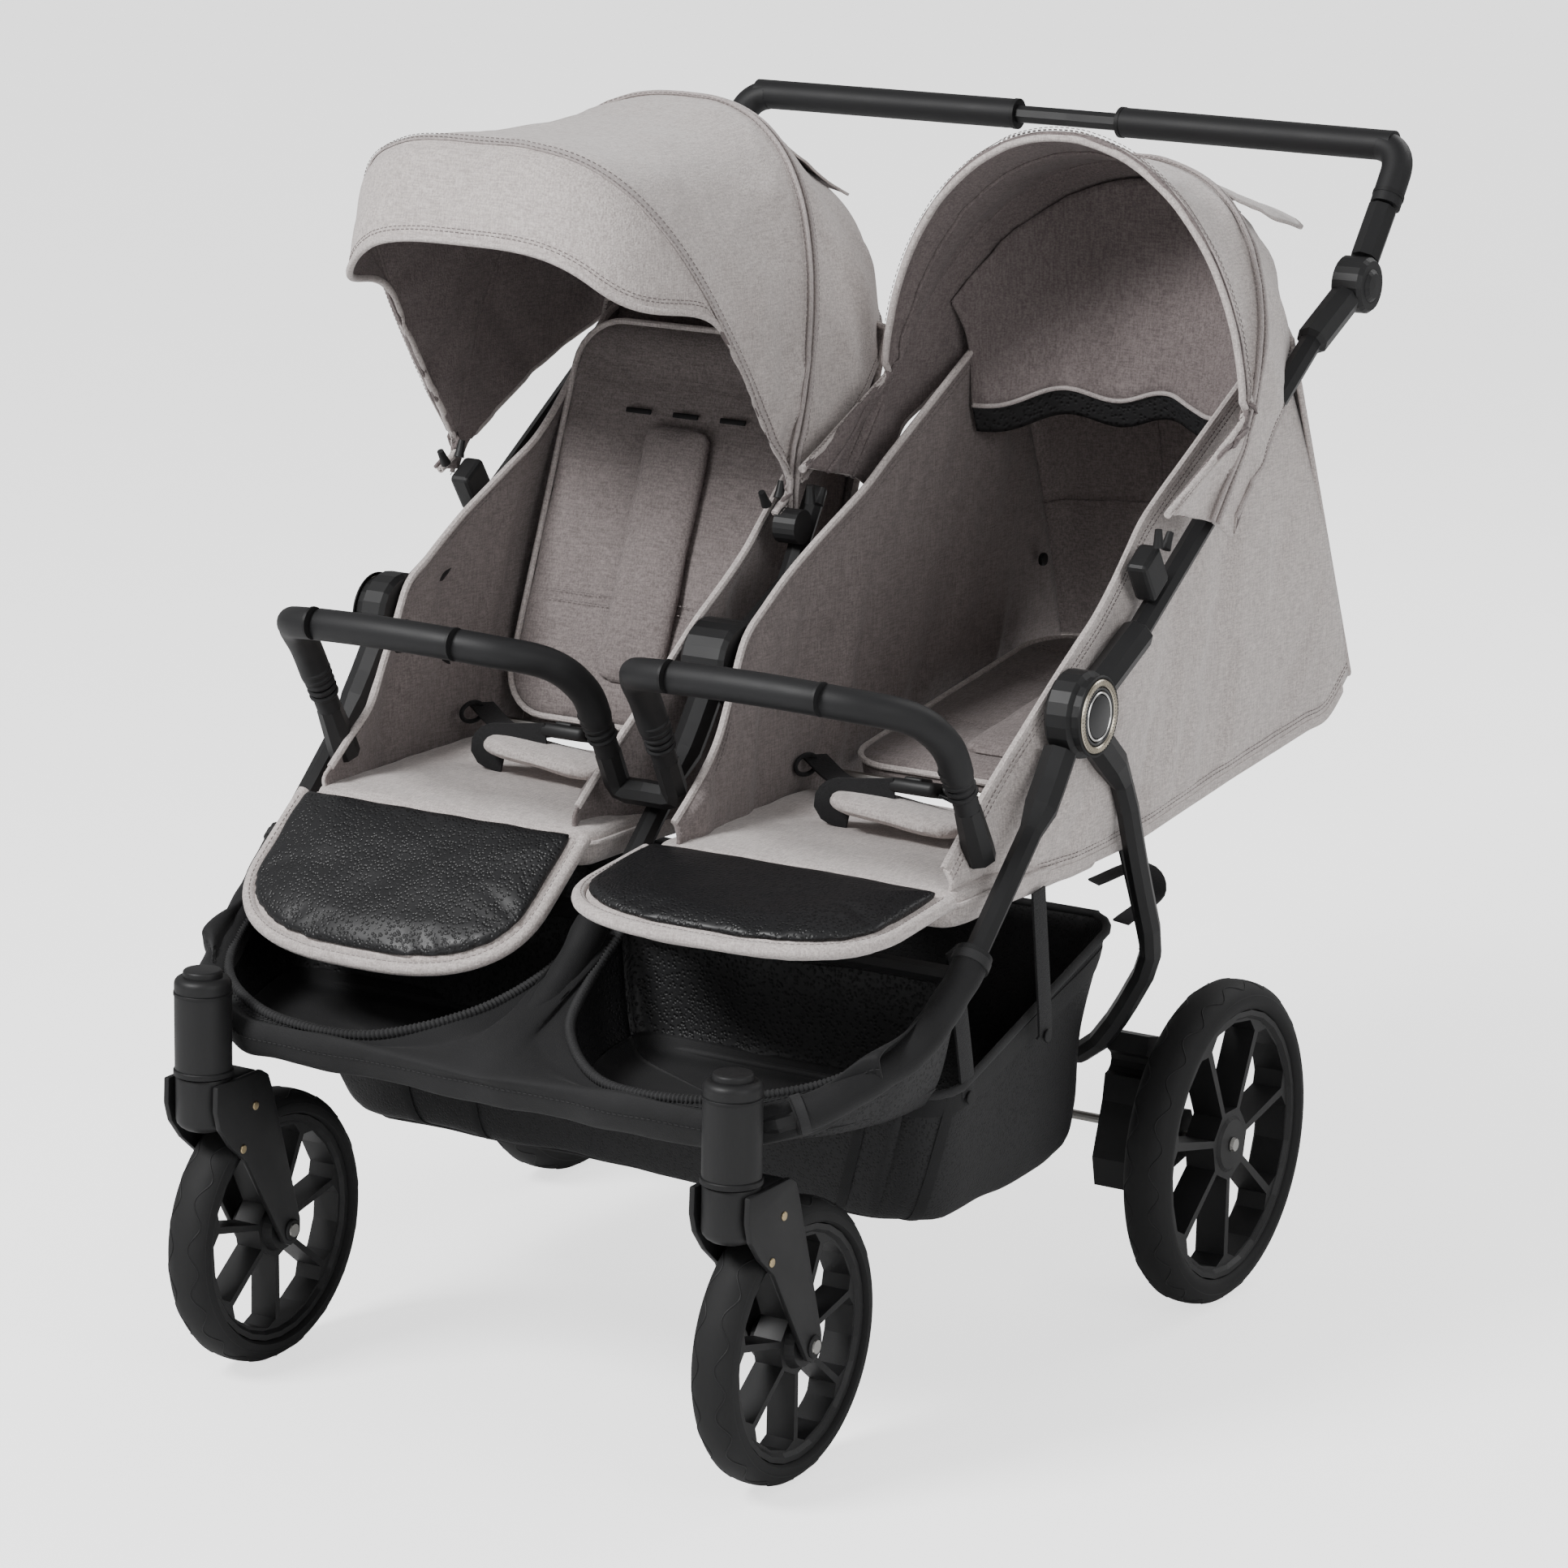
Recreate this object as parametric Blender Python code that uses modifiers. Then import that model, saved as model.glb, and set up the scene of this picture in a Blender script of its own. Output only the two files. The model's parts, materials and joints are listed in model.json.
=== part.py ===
"""Side-by-side twin stroller with two seats, two canopies and a folding frame.

Metres, +Z up. The front is towards -Y. Left is -X and right is +X, as seen from in front.
The origin is on the ground, at the middle of the stroller's footprint.
"""

import math

import bmesh
import bpy
from mathutils import Matrix, Vector

# ---- driving dimensions -------------------------------------------------------------------------
GAP = 0.0003  # clearance between neighbouring pieces
TUBE_R = 0.0105  # frame tube
SIDE_X = 0.357  # side frame tubes, from the middle plane
FOLD = (-0.096, 0.610)  # frame hinge axis (y, z), along X
HUB_R = 0.038
HUB_FACE_X = 0.378  # outermost face of a hub, half of the stroller's width is 0.38

CASTER = (0.269, -0.5005)  # swivel axis (x, y)
FRONT_TRAIL = 0.086
FRONT_WHEEL = {"radius": 0.1225, "width": 0.042, "hub_half": 0.0215}
REAR_WHEEL = {"radius": 0.151, "width": 0.046, "hub_half": 0.0172}
WHEEL_STEPS = 28
REAR_AXLE = (0.202, 0.151)  # (y, z)
REAR_WHEEL_X = 0.357
AXLE_R = 0.0045

HANDLE_AXIS = (0.425, 0.919)  # handle tilt axis (y, z)
CANOPY_AXIS = (0.020, 0.714)  # canopy bow axis (y, z)
BACK_HINGE = (0.032, 0.488)  # backrest hinge (y, z)
LEGREST_HINGE = (-0.2685, 0.4740)  # legrest hinge (y, z)
SEAT_X = 0.1825  # centre of a seat, from the middle plane
SEAT_TOP = 0.484
FABRIC = 0.002  # sewn fabric

SIDES = (("left", -1), ("right", 1))
BACK_ANGLE = {"left": 69.0, "right": 8.0}  # from level, in degrees
LEGREST_DROOP = {"left": 38.0, "right": 6.0}

# a canopy's hoops: (y, z) centre, radius, tilt in degrees from level front, squareness
HOOPS = {
    "left": {
        "front": ((0.034, 0.747), 0.387, 54.7, 3.5),
        "rear": ((0.037, 0.770), 0.321, 108.0, 2.6),
        "tail": ((0.070, 0.775), 0.300, 136.0, 2.6),
    },
    "right": {
        "front": ((0.160, 0.832), 0.240, 88.0, 2.2),
        "rear": ((0.150, 0.800), 0.275, 122.0, 2.2),
        "tail": ((0.178, 0.776), 0.312, 136.0, 2.2),
    },
}


# ---- scene helpers ------------------------------------------------------------------------------
def clear_scene():
    for obj in list(bpy.data.objects):
        bpy.data.objects.remove(obj, do_unlink=True)


def new_collection(name):
    collection = bpy.data.collections.new(name)
    bpy.context.scene.collection.children.link(collection)
    return collection


def material(name, colour, roughness, metallic=0.0):
    mat = bpy.data.materials.new(name)
    mat.use_nodes = True
    shader = mat.node_tree.nodes["Principled BSDF"]
    shader.inputs["Base Color"].default_value = (*colour, 1.0)
    shader.inputs["Roughness"].default_value = roughness
    shader.inputs["Metallic"].default_value = metallic
    return mat


def put(name, data, mat, pivot=None):
    """Adds an object for this data to the stroller, on the pivot that it turns with."""
    obj = bpy.data.objects.new(name, data)
    STROLLER.objects.link(obj)
    data.materials.append(mat)
    if pivot:
        obj.parent = pivot
        obj.matrix_parent_inverse = pivot.matrix_world.inverted()
    return obj


def pivot(name, location, parent=None):
    empty = bpy.data.objects.new(name, None)
    STROLLER.objects.link(empty)
    empty.location = location
    if parent:
        empty.parent = parent
        empty.matrix_parent_inverse = parent.matrix_world.inverted()
    bpy.context.view_layer.update()
    return empty


def smooth(mesh, angle=40):
    mesh.shade_smooth()
    mesh.set_sharp_from_angle(angle=math.radians(angle))
    return mesh


def baked(obj):
    """The object's evaluated mesh, in world space, with loose curve caps welded. Removes the object."""
    bpy.context.view_layer.update()
    graph = bpy.context.evaluated_depsgraph_get()
    mesh = bpy.data.meshes.new_from_object(obj.evaluated_get(graph), depsgraph=graph)
    mesh.transform(obj.matrix_world)
    shape = bmesh.new()
    shape.from_mesh(mesh)
    bmesh.ops.remove_doubles(shape, verts=shape.verts, dist=1e-6)
    shape.to_mesh(mesh)
    shape.free()
    mesh.materials.clear()
    bpy.data.objects.remove(obj, do_unlink=True)
    return mesh


def combined(meshes, operation="UNION"):
    """One mesh from the first mesh and each of the others, by exact Booleans."""
    base = bpy.data.objects.new("base", meshes[0])
    WORKSHOP.objects.link(base)
    tools = []
    for mesh in meshes[1:]:
        tool = bpy.data.objects.new("tool", mesh)
        WORKSHOP.objects.link(tool)
        step = base.modifiers.new("combine", "BOOLEAN")
        step.object = tool
        step.operation = operation
        step.solver = "EXACT"
        tools.append(tool)
    result = baked(base)
    for tool in tools:
        bpy.data.objects.remove(tool, do_unlink=True)
    return result


# ---- shape helpers ------------------------------------------------------------------------------
def rounded(points, radius, steps=2):
    """The polyline with an arc-like bend of about this radius at each inner point."""
    points = [Vector(p) for p in points]
    path = [points[0]]
    for before, corner, after in zip(points, points[1:], points[2:]):
        reach = min(radius, 0.45 * (before - corner).length, 0.45 * (after - corner).length)
        start = corner + (before - corner).normalized() * reach
        end = corner + (after - corner).normalized() * reach
        for i in range(steps + 1):
            t = i / steps
            path.append(start * (1 - t) ** 2 + corner * 2 * t * (1 - t) + end * t ** 2)
    return path + [points[-1]]


def tube_curve(path, radius, thick=None):
    """A round bar along the path. thick(point) gives a local radius factor."""
    curve = bpy.data.curves.new("tube", "CURVE")
    curve.dimensions = "3D"
    curve.bevel_depth = radius
    curve.bevel_resolution = 2
    curve.use_fill_caps = True
    spline = curve.splines.new("POLY")
    spline.points.add(len(path) - 1)
    for point, place in zip(spline.points, path):
        point.co = (*place, 1.0)
        point.radius = thick(Vector(place)) if thick else 1.0
    return curve


def tube_mesh(path, radius, thick=None):
    obj = bpy.data.objects.new("tube", tube_curve(path, radius, thick))
    WORKSHOP.objects.link(obj)
    return smooth(baked(obj))


def mirrored(half):
    """A path over both sides, from its right half that ends on the middle plane."""
    return list(half) + [Vector((-p[0], p[1], p[2])) for p in reversed(list(half)[:-1])]


def turned_mesh(profile, steps, closed=False):
    """A turned solid about Z, from (radius, height) points that run down its outer side."""
    mesh = bpy.data.meshes.new("profile")
    vertices = [(radius, 0.0, height) for radius, height in profile]
    edges = [(i, i + 1) for i in range(len(vertices) - 1)]
    if closed:
        edges.append((len(vertices) - 1, 0))
    mesh.from_pydata(vertices, edges, [])
    obj = bpy.data.objects.new("turned", mesh)
    WORKSHOP.objects.link(obj)
    screw = obj.modifiers.new("turn", "SCREW")
    screw.angle = 2 * math.pi
    screw.steps = screw.render_steps = steps
    screw.use_merge_vertices = True
    screw.merge_threshold = 0.00001
    return smooth(baked(obj))


def along_x(mesh, centre, side=1):
    """Turns a mesh about Z so that its axis lies along X, outwards, and moves it to the centre."""
    turn = Matrix.Rotation(side * math.pi / 2, 4, "Y")
    mesh.transform(Matrix.Translation(Vector(centre)) @ turn)
    return mesh


def flat_mesh(outline, thickness):
    """A flat outline in the XY plane, made solid around it."""
    curve = bpy.data.curves.new("outline", "CURVE")
    curve.dimensions = "2D"
    curve.fill_mode = "BOTH"
    curve.extrude = thickness / 2
    spline = curve.splines.new("POLY")
    spline.points.add(len(outline) - 1)
    for point, (x, y) in zip(spline.points, outline):
        point.co = (x, y, 0.0, 1.0)
    spline.use_cyclic_u = True
    obj = bpy.data.objects.new("outline", curve)
    WORKSHOP.objects.link(obj)
    return baked(obj)


def plate_mesh(outline, x_low, x_high):
    """A flat (y, z) outline, as thick as from x_low to x_high."""
    mesh = flat_mesh(outline, x_high - x_low)
    stand = Matrix(((0, 0, 1, (x_low + x_high) / 2), (1, 0, 0, 0), (0, 1, 0, 0), (0, 0, 0, 1)))
    mesh.transform(stand)
    return mesh


def box_mesh(low, high, bevel=0.0):
    """A box between two corners, with its edges rounded."""
    low, high = Vector(low), Vector(high)
    shape = bmesh.new()
    bmesh.ops.create_cube(shape, size=1.0)
    bmesh.ops.scale(shape, vec=high - low, verts=shape.verts)
    bmesh.ops.translate(shape, vec=(low + high) / 2, verts=shape.verts)
    if bevel:
        bmesh.ops.bevel(shape, geom=shape.edges[:], offset=bevel, segments=2, affect="EDGES", profile=0.5)
    mesh = bpy.data.meshes.new("box")
    shape.to_mesh(mesh)
    shape.free()
    return mesh


def sheet(name, rows, thickness, mat, pivot_empty=None):
    """A fabric sheet through rows of points, made solid. Its outer side is on the rows."""
    columns = len(rows[0])
    mesh = bpy.data.meshes.new(name)
    faces = [
        (r * columns + c, r * columns + c + 1, (r + 1) * columns + c + 1, (r + 1) * columns + c)
        for r in range(len(rows) - 1)
        for c in range(columns - 1)
    ]
    mesh.from_pydata([tuple(p) for row in rows for p in row], [], faces)
    smooth(mesh, 60)
    obj = put(name, mesh, mat, pivot_empty)
    solid = obj.modifiers.new("thickness", "SOLIDIFY")
    solid.thickness = thickness
    solid.offset = -1.0
    return obj


def polar(centre, radius, degrees):
    """(y, z) at this distance and angle from centre; 0 degrees points to the rear."""
    a = math.radians(degrees)
    return centre[0] + radius * math.cos(a), centre[1] + radius * math.sin(a)


# ---- frame --------------------------------------------------------------------------------------
FRONT_LEG_ANGLE = 226.0  # the front leg's direction at the hub
REAR_LEG_ANGLE = -39.6
UPPER_ANGLE = 24.0
LEG_TOP_R = 0.0015 + HUB_R  # where a leg's collar starts
COLLAR = 1.45  # a collar's radius, in tube radii


def front_frame():
    """Welded front tube: both side legs and the front crossbar, the middle leg and the seat bar."""
    top = polar(FOLD, LEG_TOP_R, FRONT_LEG_ANGLE)
    collar_end = (-0.154, 0.538)
    seat_front = (-0.280, 0.418)
    half = [
        (SIDE_X, *top),
        (SIDE_X, *collar_end),
        (SIDE_X, *seat_front),
        (0.347, -0.350, 0.368),
        (0.318, -0.425, 0.340),
        (0.285, -0.457, 0.325),
        (0.235, -0.467, 0.316),
        (0.0, -0.467, 0.316),
    ]

    def in_collar(p):
        return COLLAR if p.z > collar_end[1] - 0.001 else 1.0

    sides = tube_mesh(mirrored(rounded(half, 0.03)), TUBE_R, in_collar)
    inner_leg = [(0.0, y, z) for y, z in (top, collar_end, seat_front, (-0.400, 0.336), (-0.462, 0.318))]
    middle = tube_mesh(rounded(inner_leg, 0.03), TUBE_R * 0.98, in_collar)
    seat_bar = tube_mesh([(-SIDE_X, *seat_front), (SIDE_X, *seat_front)], TUBE_R * 0.85)
    put("front_frame", smooth(combined([sides, middle, seat_bar])), FRAME_BLACK)


def side_hub(side_name, side):
    """Round hinge housing with a raised trim ring and a domed cap."""
    inner, outer = 0.344, HUB_FACE_X
    ring_r = 0.0325
    profile = [
        (0.0, outer - 0.001),
        (0.016, outer - 0.001),
        (0.022, outer - 0.003),
        (0.024, outer),
        (ring_r, outer - 0.001),
        (ring_r + 0.001, outer - 0.008),
        (HUB_R, outer - 0.011),
        (HUB_R, inner + 0.004),
        (HUB_R - 0.004, inner),
        (0.0, inner),
    ]
    mesh = turned_mesh(profile, 22)
    put(f"hub_{side_name}", along_x(mesh, (0, *FOLD), side), MOULDED_BLACK)


def middle_hub():
    half_width = 0.0225
    profile = [
        (0.0, half_width),
        (HUB_R - 0.004, half_width),
        (HUB_R, half_width - 0.004),
        (HUB_R, 0.004 - half_width),
        (HUB_R - 0.004, -half_width),
        (0.0, -half_width),
    ]
    put("hub_middle", along_x(turned_mesh(profile, 24), (0, *FOLD)), MOULDED_BLACK)


def upper_tube(side_name, side):
    """Side tube from the hub to the handle joint, with a collar at the hub and a sleeve on top."""
    start = polar(FOLD, LEG_TOP_R, UPPER_ANGLE)
    collar_end = (0.012, 0.661)
    sleeve_start = (0.334, 0.8755)
    direction = Vector((HANDLE_AXIS[0] - sleeve_start[0], HANDLE_AXIS[1] - sleeve_start[1])).normalized()
    end = Vector(HANDLE_AXIS) - direction * (HANDLE_JOINT_R + 0.001)
    x = side * SIDE_X
    path = [
        (x, *start),
        (x, *collar_end),
        (x, collar_end[0] + 0.004, collar_end[1] + 0.003),
        (x, *sleeve_start),
        (x, sleeve_start[0] + 0.003, sleeve_start[1] + 0.002),
        (x, *end),
    ]

    def thick(p):
        return COLLAR if p.y < collar_end[0] + 0.001 or p.y > sleeve_start[0] + 0.001 else 1.0

    put(f"upper_tube_{side_name}", tube_mesh(path, TUBE_R, thick), FRAME_BLACK, FOLD_PIVOT)


def middle_post():
    """Short post above the middle hub that carries the inner ends of both canopies."""
    start = polar(FOLD, LEG_TOP_R, UPPER_ANGLE)
    post = tube_mesh([(0.0, *start), (0.0, 0.012, 0.661), (0.0, 0.062, 0.742)], 0.0102)
    boss = along_x(turned_mesh(cylinder_profile(0.016, 0.0115), 20), (0, *CANOPY_AXIS))
    put("middle_post", smooth(combined([post, boss])), MOULDED_BLACK, FOLD_PIVOT)


def canopy_clip(side_name, side):
    """Clip beside the upper tube, with the boss that a canopy's outer end turns on."""
    arm = box_mesh((0.3460, -0.010, -0.0268), (0.3665, 0.022, 0.014), 0.004)
    tilt = Matrix.Translation((0, *CANOPY_AXIS)) @ Matrix.Rotation(math.radians(33.6), 4, "X")
    arm.transform(Matrix.Diagonal((side, 1, 1, 1)) @ tilt)
    if side < 0:
        arm.flip_normals()
    put(f"canopy_clip_{side_name}", arm, MOULDED_BLACK, FOLD_PIVOT)


def cylinder_profile(radius, half_length):
    return [(0.0, half_length), (radius, half_length), (radius, -half_length), (0.0, -half_length)]


# ---- handle -------------------------------------------------------------------------------------
HANDLE_JOINT_R = 0.026
HANDLE_JOINT_FACE = 0.3735
BUTTON_R = 0.0155
BUTTON_TRAVEL = 0.003


def handle_joint(side_name, side):
    """Ratchet housing of the handle, with a well for its release button."""
    inner = 0.3435
    profile = [
        (0.0, HANDLE_JOINT_FACE - 0.008),
        (BUTTON_R + GAP, HANDLE_JOINT_FACE - 0.008),
        (BUTTON_R + GAP, HANDLE_JOINT_FACE),
        (HANDLE_JOINT_R - 0.003, HANDLE_JOINT_FACE),
        (HANDLE_JOINT_R, HANDLE_JOINT_FACE - 0.004),
        (HANDLE_JOINT_R, inner + 0.002),
        (HANDLE_JOINT_R - 0.002, inner),
        (0.0, inner),
    ]
    mesh = turned_mesh(profile, 24)
    put(f"handle_joint_{side_name}", along_x(mesh, (0, *HANDLE_AXIS), side), MOULDED_BLACK, FOLD_PIVOT)


def handle_button(side_name, side):
    low = HANDLE_JOINT_FACE - 0.008 + BUTTON_TRAVEL + GAP
    profile = [
        (0.0, HANDLE_JOINT_FACE + 0.0035),
        (BUTTON_R - 0.004, HANDLE_JOINT_FACE + 0.003),
        (BUTTON_R, HANDLE_JOINT_FACE),
        (BUTTON_R, low),
        (0.0, low),
    ]
    mesh = turned_mesh(profile, 20)
    put(f"handle_button_{side_name}", along_x(mesh, (0, *HANDLE_AXIS), side), MOULDED_BLACK, FOLD_PIVOT)


HANDLE_CORNER = (0.514, 1.038)  # where arm and bar would meet (y, z)
HANDLE_MIDDLE = (0.5242, 1.0375)
GRIP_INNER_X = 0.057  # the bar is bare between the grips
HANDLE_BEND = 0.062
GRIP_R = 0.0145
BAR_R = 0.0088
GRIP_START = (0.478, 0.986)  # lower end of a grip (y, z)


def handle_half():
    """Centre line of the handle's right half, from above the joint to the middle plane."""
    joint, grip_start = Vector((SIDE_X, *HANDLE_AXIS)), Vector((SIDE_X, *GRIP_START))
    arm = (grip_start - joint).normalized()
    length = (grip_start - joint).length
    ends = [HANDLE_JOINT_R + 0.001, length - 0.003, length - 0.001, length]
    bend = rounded([grip_start, (SIDE_X, *HANDLE_CORNER), (0.0, *HANDLE_MIDDLE)], HANDLE_BEND, 6)[1:-1]
    middle = Vector((0.0, *HANDLE_MIDDLE))
    inner_end = bend[-1].lerp(middle, (bend[-1].x - GRIP_INNER_X) / bend[-1].x)
    return [joint + arm * reach for reach in ends] + bend + [inner_end, middle]


def handle_bar():
    """Bent handle tube, thicker at its two sleeves by the joints."""
    half = handle_half()

    def thick(p):
        return 1.6 if p.z < half[1].z + 0.0003 else 1.0

    put("handle_bar", tube_mesh(mirrored(half), BAR_R, thick), FRAME_BLACK, HANDLE_PIVOT)


def grip(side_name, side):
    """Foam grip: a sleeve around the bent part of the bar."""
    path = [Vector((side * p.x, p.y, p.z)) for p in handle_half()[3:-1]]
    outer = tube_mesh(path, GRIP_R)
    start = path[0] + (path[0] - path[1]).normalized() * 0.01
    end = path[-1] + (path[-1] - path[-2]).normalized() * 0.01
    core = tube_mesh([start] + path[1:-1] + [end], BAR_R + 0.0011)
    put(f"grip_{side_name}", smooth(combined([outer, core], "DIFFERENCE")), GRIP_FOAM, HANDLE_PIVOT)


# ---- casters and wheels -------------------------------------------------------------------------
HOUSING_TOP = 0.370
HOUSING_BOTTOM = 0.282
LOCK_R = 0.0172
STEM_R = 0.006


def caster_housing(side_name, side):
    """Upright housing on the front tube, bored for the fork's stem and open on top for the lock."""
    profile = [
        (0.0, HOUSING_TOP - 0.009),
        (LOCK_R + GAP, HOUSING_TOP - 0.009),
        (LOCK_R + GAP, HOUSING_TOP),
        (0.0235, HOUSING_TOP),
        (0.025, HOUSING_TOP - 0.002),
        (0.025, HOUSING_BOTTOM),
        (STEM_R + GAP, HOUSING_BOTTOM),
        (STEM_R + GAP, HOUSING_BOTTOM + 0.05),
        (0.0, HOUSING_BOTTOM + 0.05),
    ]
    mesh = turned_mesh(profile, 18)
    mesh.transform(Matrix.Translation((side * CASTER[0], CASTER[1], 0)))
    put(f"caster_housing_{side_name}", mesh, MOULDED_BLACK)


def caster_lock(side_name, side):
    """Push cap that locks the swivel."""
    low = HOUSING_TOP - 0.009 + 0.003 + GAP
    profile = [
        (0.0, HOUSING_TOP + 0.006),
        (0.009, HOUSING_TOP + 0.005),
        (LOCK_R - 0.001, HOUSING_TOP + 0.001),
        (LOCK_R, HOUSING_TOP - 0.001),
        (LOCK_R, low),
        (0.0, low),
    ]
    mesh = turned_mesh(profile, 18)
    mesh.transform(Matrix.Translation((side * CASTER[0], CASTER[1], 0)))
    lock_pivot = pivot(f"lock_axis_{side_name}", (side * CASTER[0], CASTER[1], HOUSING_TOP))
    put(f"caster_lock_{side_name}", mesh, MOULDED_BLACK, lock_pivot)


FORK_INNER = 0.0238  # half the room between the fork's plates
FORK_OUTER = 0.0295
FORK_TOP = HOUSING_BOTTOM - GAP


def caster_fork(side_name, side, swivel):
    """Fork: a stem and a turned head, a bridge and two plates down to the axle."""
    x, y = side * CASTER[0], CASTER[1]
    wheel_y, wheel_z = y + FRONT_TRAIL, FRONT_WHEEL["radius"]
    bridge_z = wheel_z + FRONT_WHEEL["radius"] + 0.006
    side_view = [
        (y - 0.030, FORK_TOP),
        (y - 0.033, bridge_z - 0.012),
        (y - 0.010, bridge_z - 0.030),
        (y + 0.020, bridge_z - 0.065),
        (wheel_y - 0.020, wheel_z + 0.005),
        (wheel_y - 0.012, wheel_z - 0.014),
        (wheel_y + 0.006, wheel_z - 0.018),
        (wheel_y + 0.018, wheel_z - 0.004),
        (wheel_y + 0.010, wheel_z + 0.050),
        (wheel_y - 0.004, wheel_z + 0.105),
        (wheel_y - 0.010, FORK_TOP - 0.008),
        (y + 0.030, FORK_TOP),
    ]
    body = plate_mesh(side_view, x - FORK_OUTER, x + FORK_OUTER)
    room = box_mesh((x - FORK_INNER, y - 0.1, wheel_z - 0.1), (x + FORK_INNER, wheel_y + 0.1, bridge_z))
    stem = turned_mesh(cylinder_profile(STEM_R, 0.029), 12)
    stem.transform(Matrix.Translation((x, y, FORK_TOP + 0.019)))
    bore = along_x(turned_mesh(cylinder_profile(AXLE_R + 0.0001, 0.05), 12), (x, wheel_y, wheel_z))
    fork = combined([combined([body, room, bore], "DIFFERENCE"), stem])
    put(f"caster_fork_{side_name}", smooth(fork), MOULDED_BLACK, swivel)


def axle(name, x_low, x_high, y, z, parent):
    """Steel axle with a head at each end."""
    middle, half = (x_low + x_high) / 2, (x_high - x_low) / 2
    profile = [
        (0.0, half),
        (0.006, half),
        (0.007, half - 0.003),
        (AXLE_R, half - 0.003),
        (AXLE_R, 0.003 - half),
        (0.007, 0.003 - half),
        (0.006, -half),
        (0.0, -half),
    ]
    put(name, along_x(turned_mesh(profile, 12), (middle, y, z)), STEEL, parent)


SPOKES = 7


def window_outline(inner, outer, spoke):
    """One gap between two spokes, as (y, z) points about the wheel's centre."""
    half = math.pi / SPOKES
    low = half - math.asin(spoke / 2 / inner)
    high = half - math.asin(spoke / 2 / outer) - 0.06
    points = [(inner, -low), (inner, low), (outer * 0.93, high + 0.05)]
    points += [(outer, high * t) for t in (0.8, 0.0, -0.8)]
    points += [(outer * 0.93, -high - 0.05)]
    return [(r * math.cos(a), r * math.sin(a)) for r, a in points]


def rim_mesh(wheel):
    """Spoked rim: a turned disc with one window cut for each gap, bored for the axle."""
    radius, width = wheel["radius"], wheel["width"]
    tyre_height = radius * 0.17
    outer = radius - tyre_height
    half, hub_half = width * 0.40, wheel["hub_half"]
    hub_r = radius * 0.155
    bore = AXLE_R + 0.0003
    profile = [
        (bore, hub_half),
        (hub_r, hub_half),
        (hub_r + 0.003, half * 0.8),
        (outer - 0.008, half * 0.8),
        (outer - 0.005, half),
        (outer, half),
        (outer, -half),
        (outer - 0.005, -half),
        (outer - 0.008, -half * 0.8),
        (hub_r + 0.003, -half * 0.8),
        (hub_r, -hub_half),
        (bore, -hub_half),
    ]
    disc = along_x(turned_mesh(profile, WHEEL_STEPS, closed=True), (0, 0, 0))
    window = window_outline(hub_r * 1.45, outer - 0.010, radius * 0.042)
    cutters = []
    for i in range(SPOKES):
        cutter = plate_mesh(window, -width, width)
        cutter.transform(Matrix.Rotation(2 * math.pi * i / SPOKES + math.pi / 2, 4, "X"))
        cutters.append(cutter)
    return smooth(combined([disc] + cutters, "DIFFERENCE"), 30)


def tyre_mesh(wheel):
    radius, width = wheel["radius"], wheel["width"]
    inner = radius * 0.83 + GAP
    half = width / 2
    profile = [
        (inner, half * 0.72),
        (inner + 0.006, half * 0.98),
        (radius - 0.008, half),
        (radius, half * 0.45),
        (radius, -half * 0.45),
        (radius - 0.008, -half),
        (inner + 0.006, -half * 0.98),
        (inner, -half * 0.72),
    ]
    return along_x(turned_mesh(profile, WHEEL_STEPS, closed=True), (0, 0, 0))


def wheel(end, side_name, place, rim, tyre, parent):
    """A rim and its tyre, whose objects share their meshes with the other side."""
    axis = pivot(f"{end}_wheel_axis_{side_name}", place, parent)
    for name, mesh, mat in (("rim", rim, MOULDED_BLACK), ("tyre", tyre, TYRE)):
        obj = bpy.data.objects.new(f"{end}_{name}_{side_name}", mesh)
        STROLLER.objects.link(obj)
        if not mesh.materials:
            mesh.materials.append(mat)
        obj.parent = axis


# ---- rear frame ---------------------------------------------------------------------------------
REAR_BAR = (0.118, 0.236)  # cross tube between the rear legs (y, z)


def rear_frame():
    """Bent tube: both rear legs and the cross tube between them."""
    half = [
        (SIDE_X, *polar(FOLD, LEG_TOP_R, REAR_LEG_ANGLE)),
        (SIDE_X, -0.006, 0.535),
        (SIDE_X, 0.024, 0.455),
        (SIDE_X, 0.066, 0.360),
        (0.302, 0.104, 0.282),
        (0.262, *REAR_BAR),
        (0.0, *REAR_BAR),
    ]

    def thick(p):
        return COLLAR if p.z > 0.545 else 1.0

    put("rear_frame", tube_mesh(mirrored(rounded(half, 0.03)), TUBE_R, thick), FRAME_BLACK, FOLD_REAR_PIVOT)


def rear_bracket(side_name, side):
    """Moulded bracket from the rear leg's lower end to the rear axle."""
    outline = [
        (0.124, 0.264),
        (0.150, 0.258),
        (0.166, 0.205),
        (0.184, 0.180),
        (0.216, 0.172),
        (0.226, 0.151),
        (0.216, 0.130),
        (0.150, 0.118),
        (0.104, 0.122),
        (0.098, 0.150),
        (0.114, 0.200),
    ]
    low, high = sorted((side * 0.284, side * 0.324))
    body = plate_mesh(outline, low, high)
    bore = along_x(turned_mesh(cylinder_profile(AXLE_R + 0.0001, 0.5), 12), (0, *REAR_AXLE))
    tube_room = along_x(turned_mesh(cylinder_profile(TUBE_R + 0.0008, 0.5), 12), (0, *REAR_BAR))
    mesh = combined([body, bore, tube_room], "DIFFERENCE")
    put(f"rear_bracket_{side_name}", smooth(mesh), MOULDED_BLACK, FOLD_REAR_PIVOT)


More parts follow.
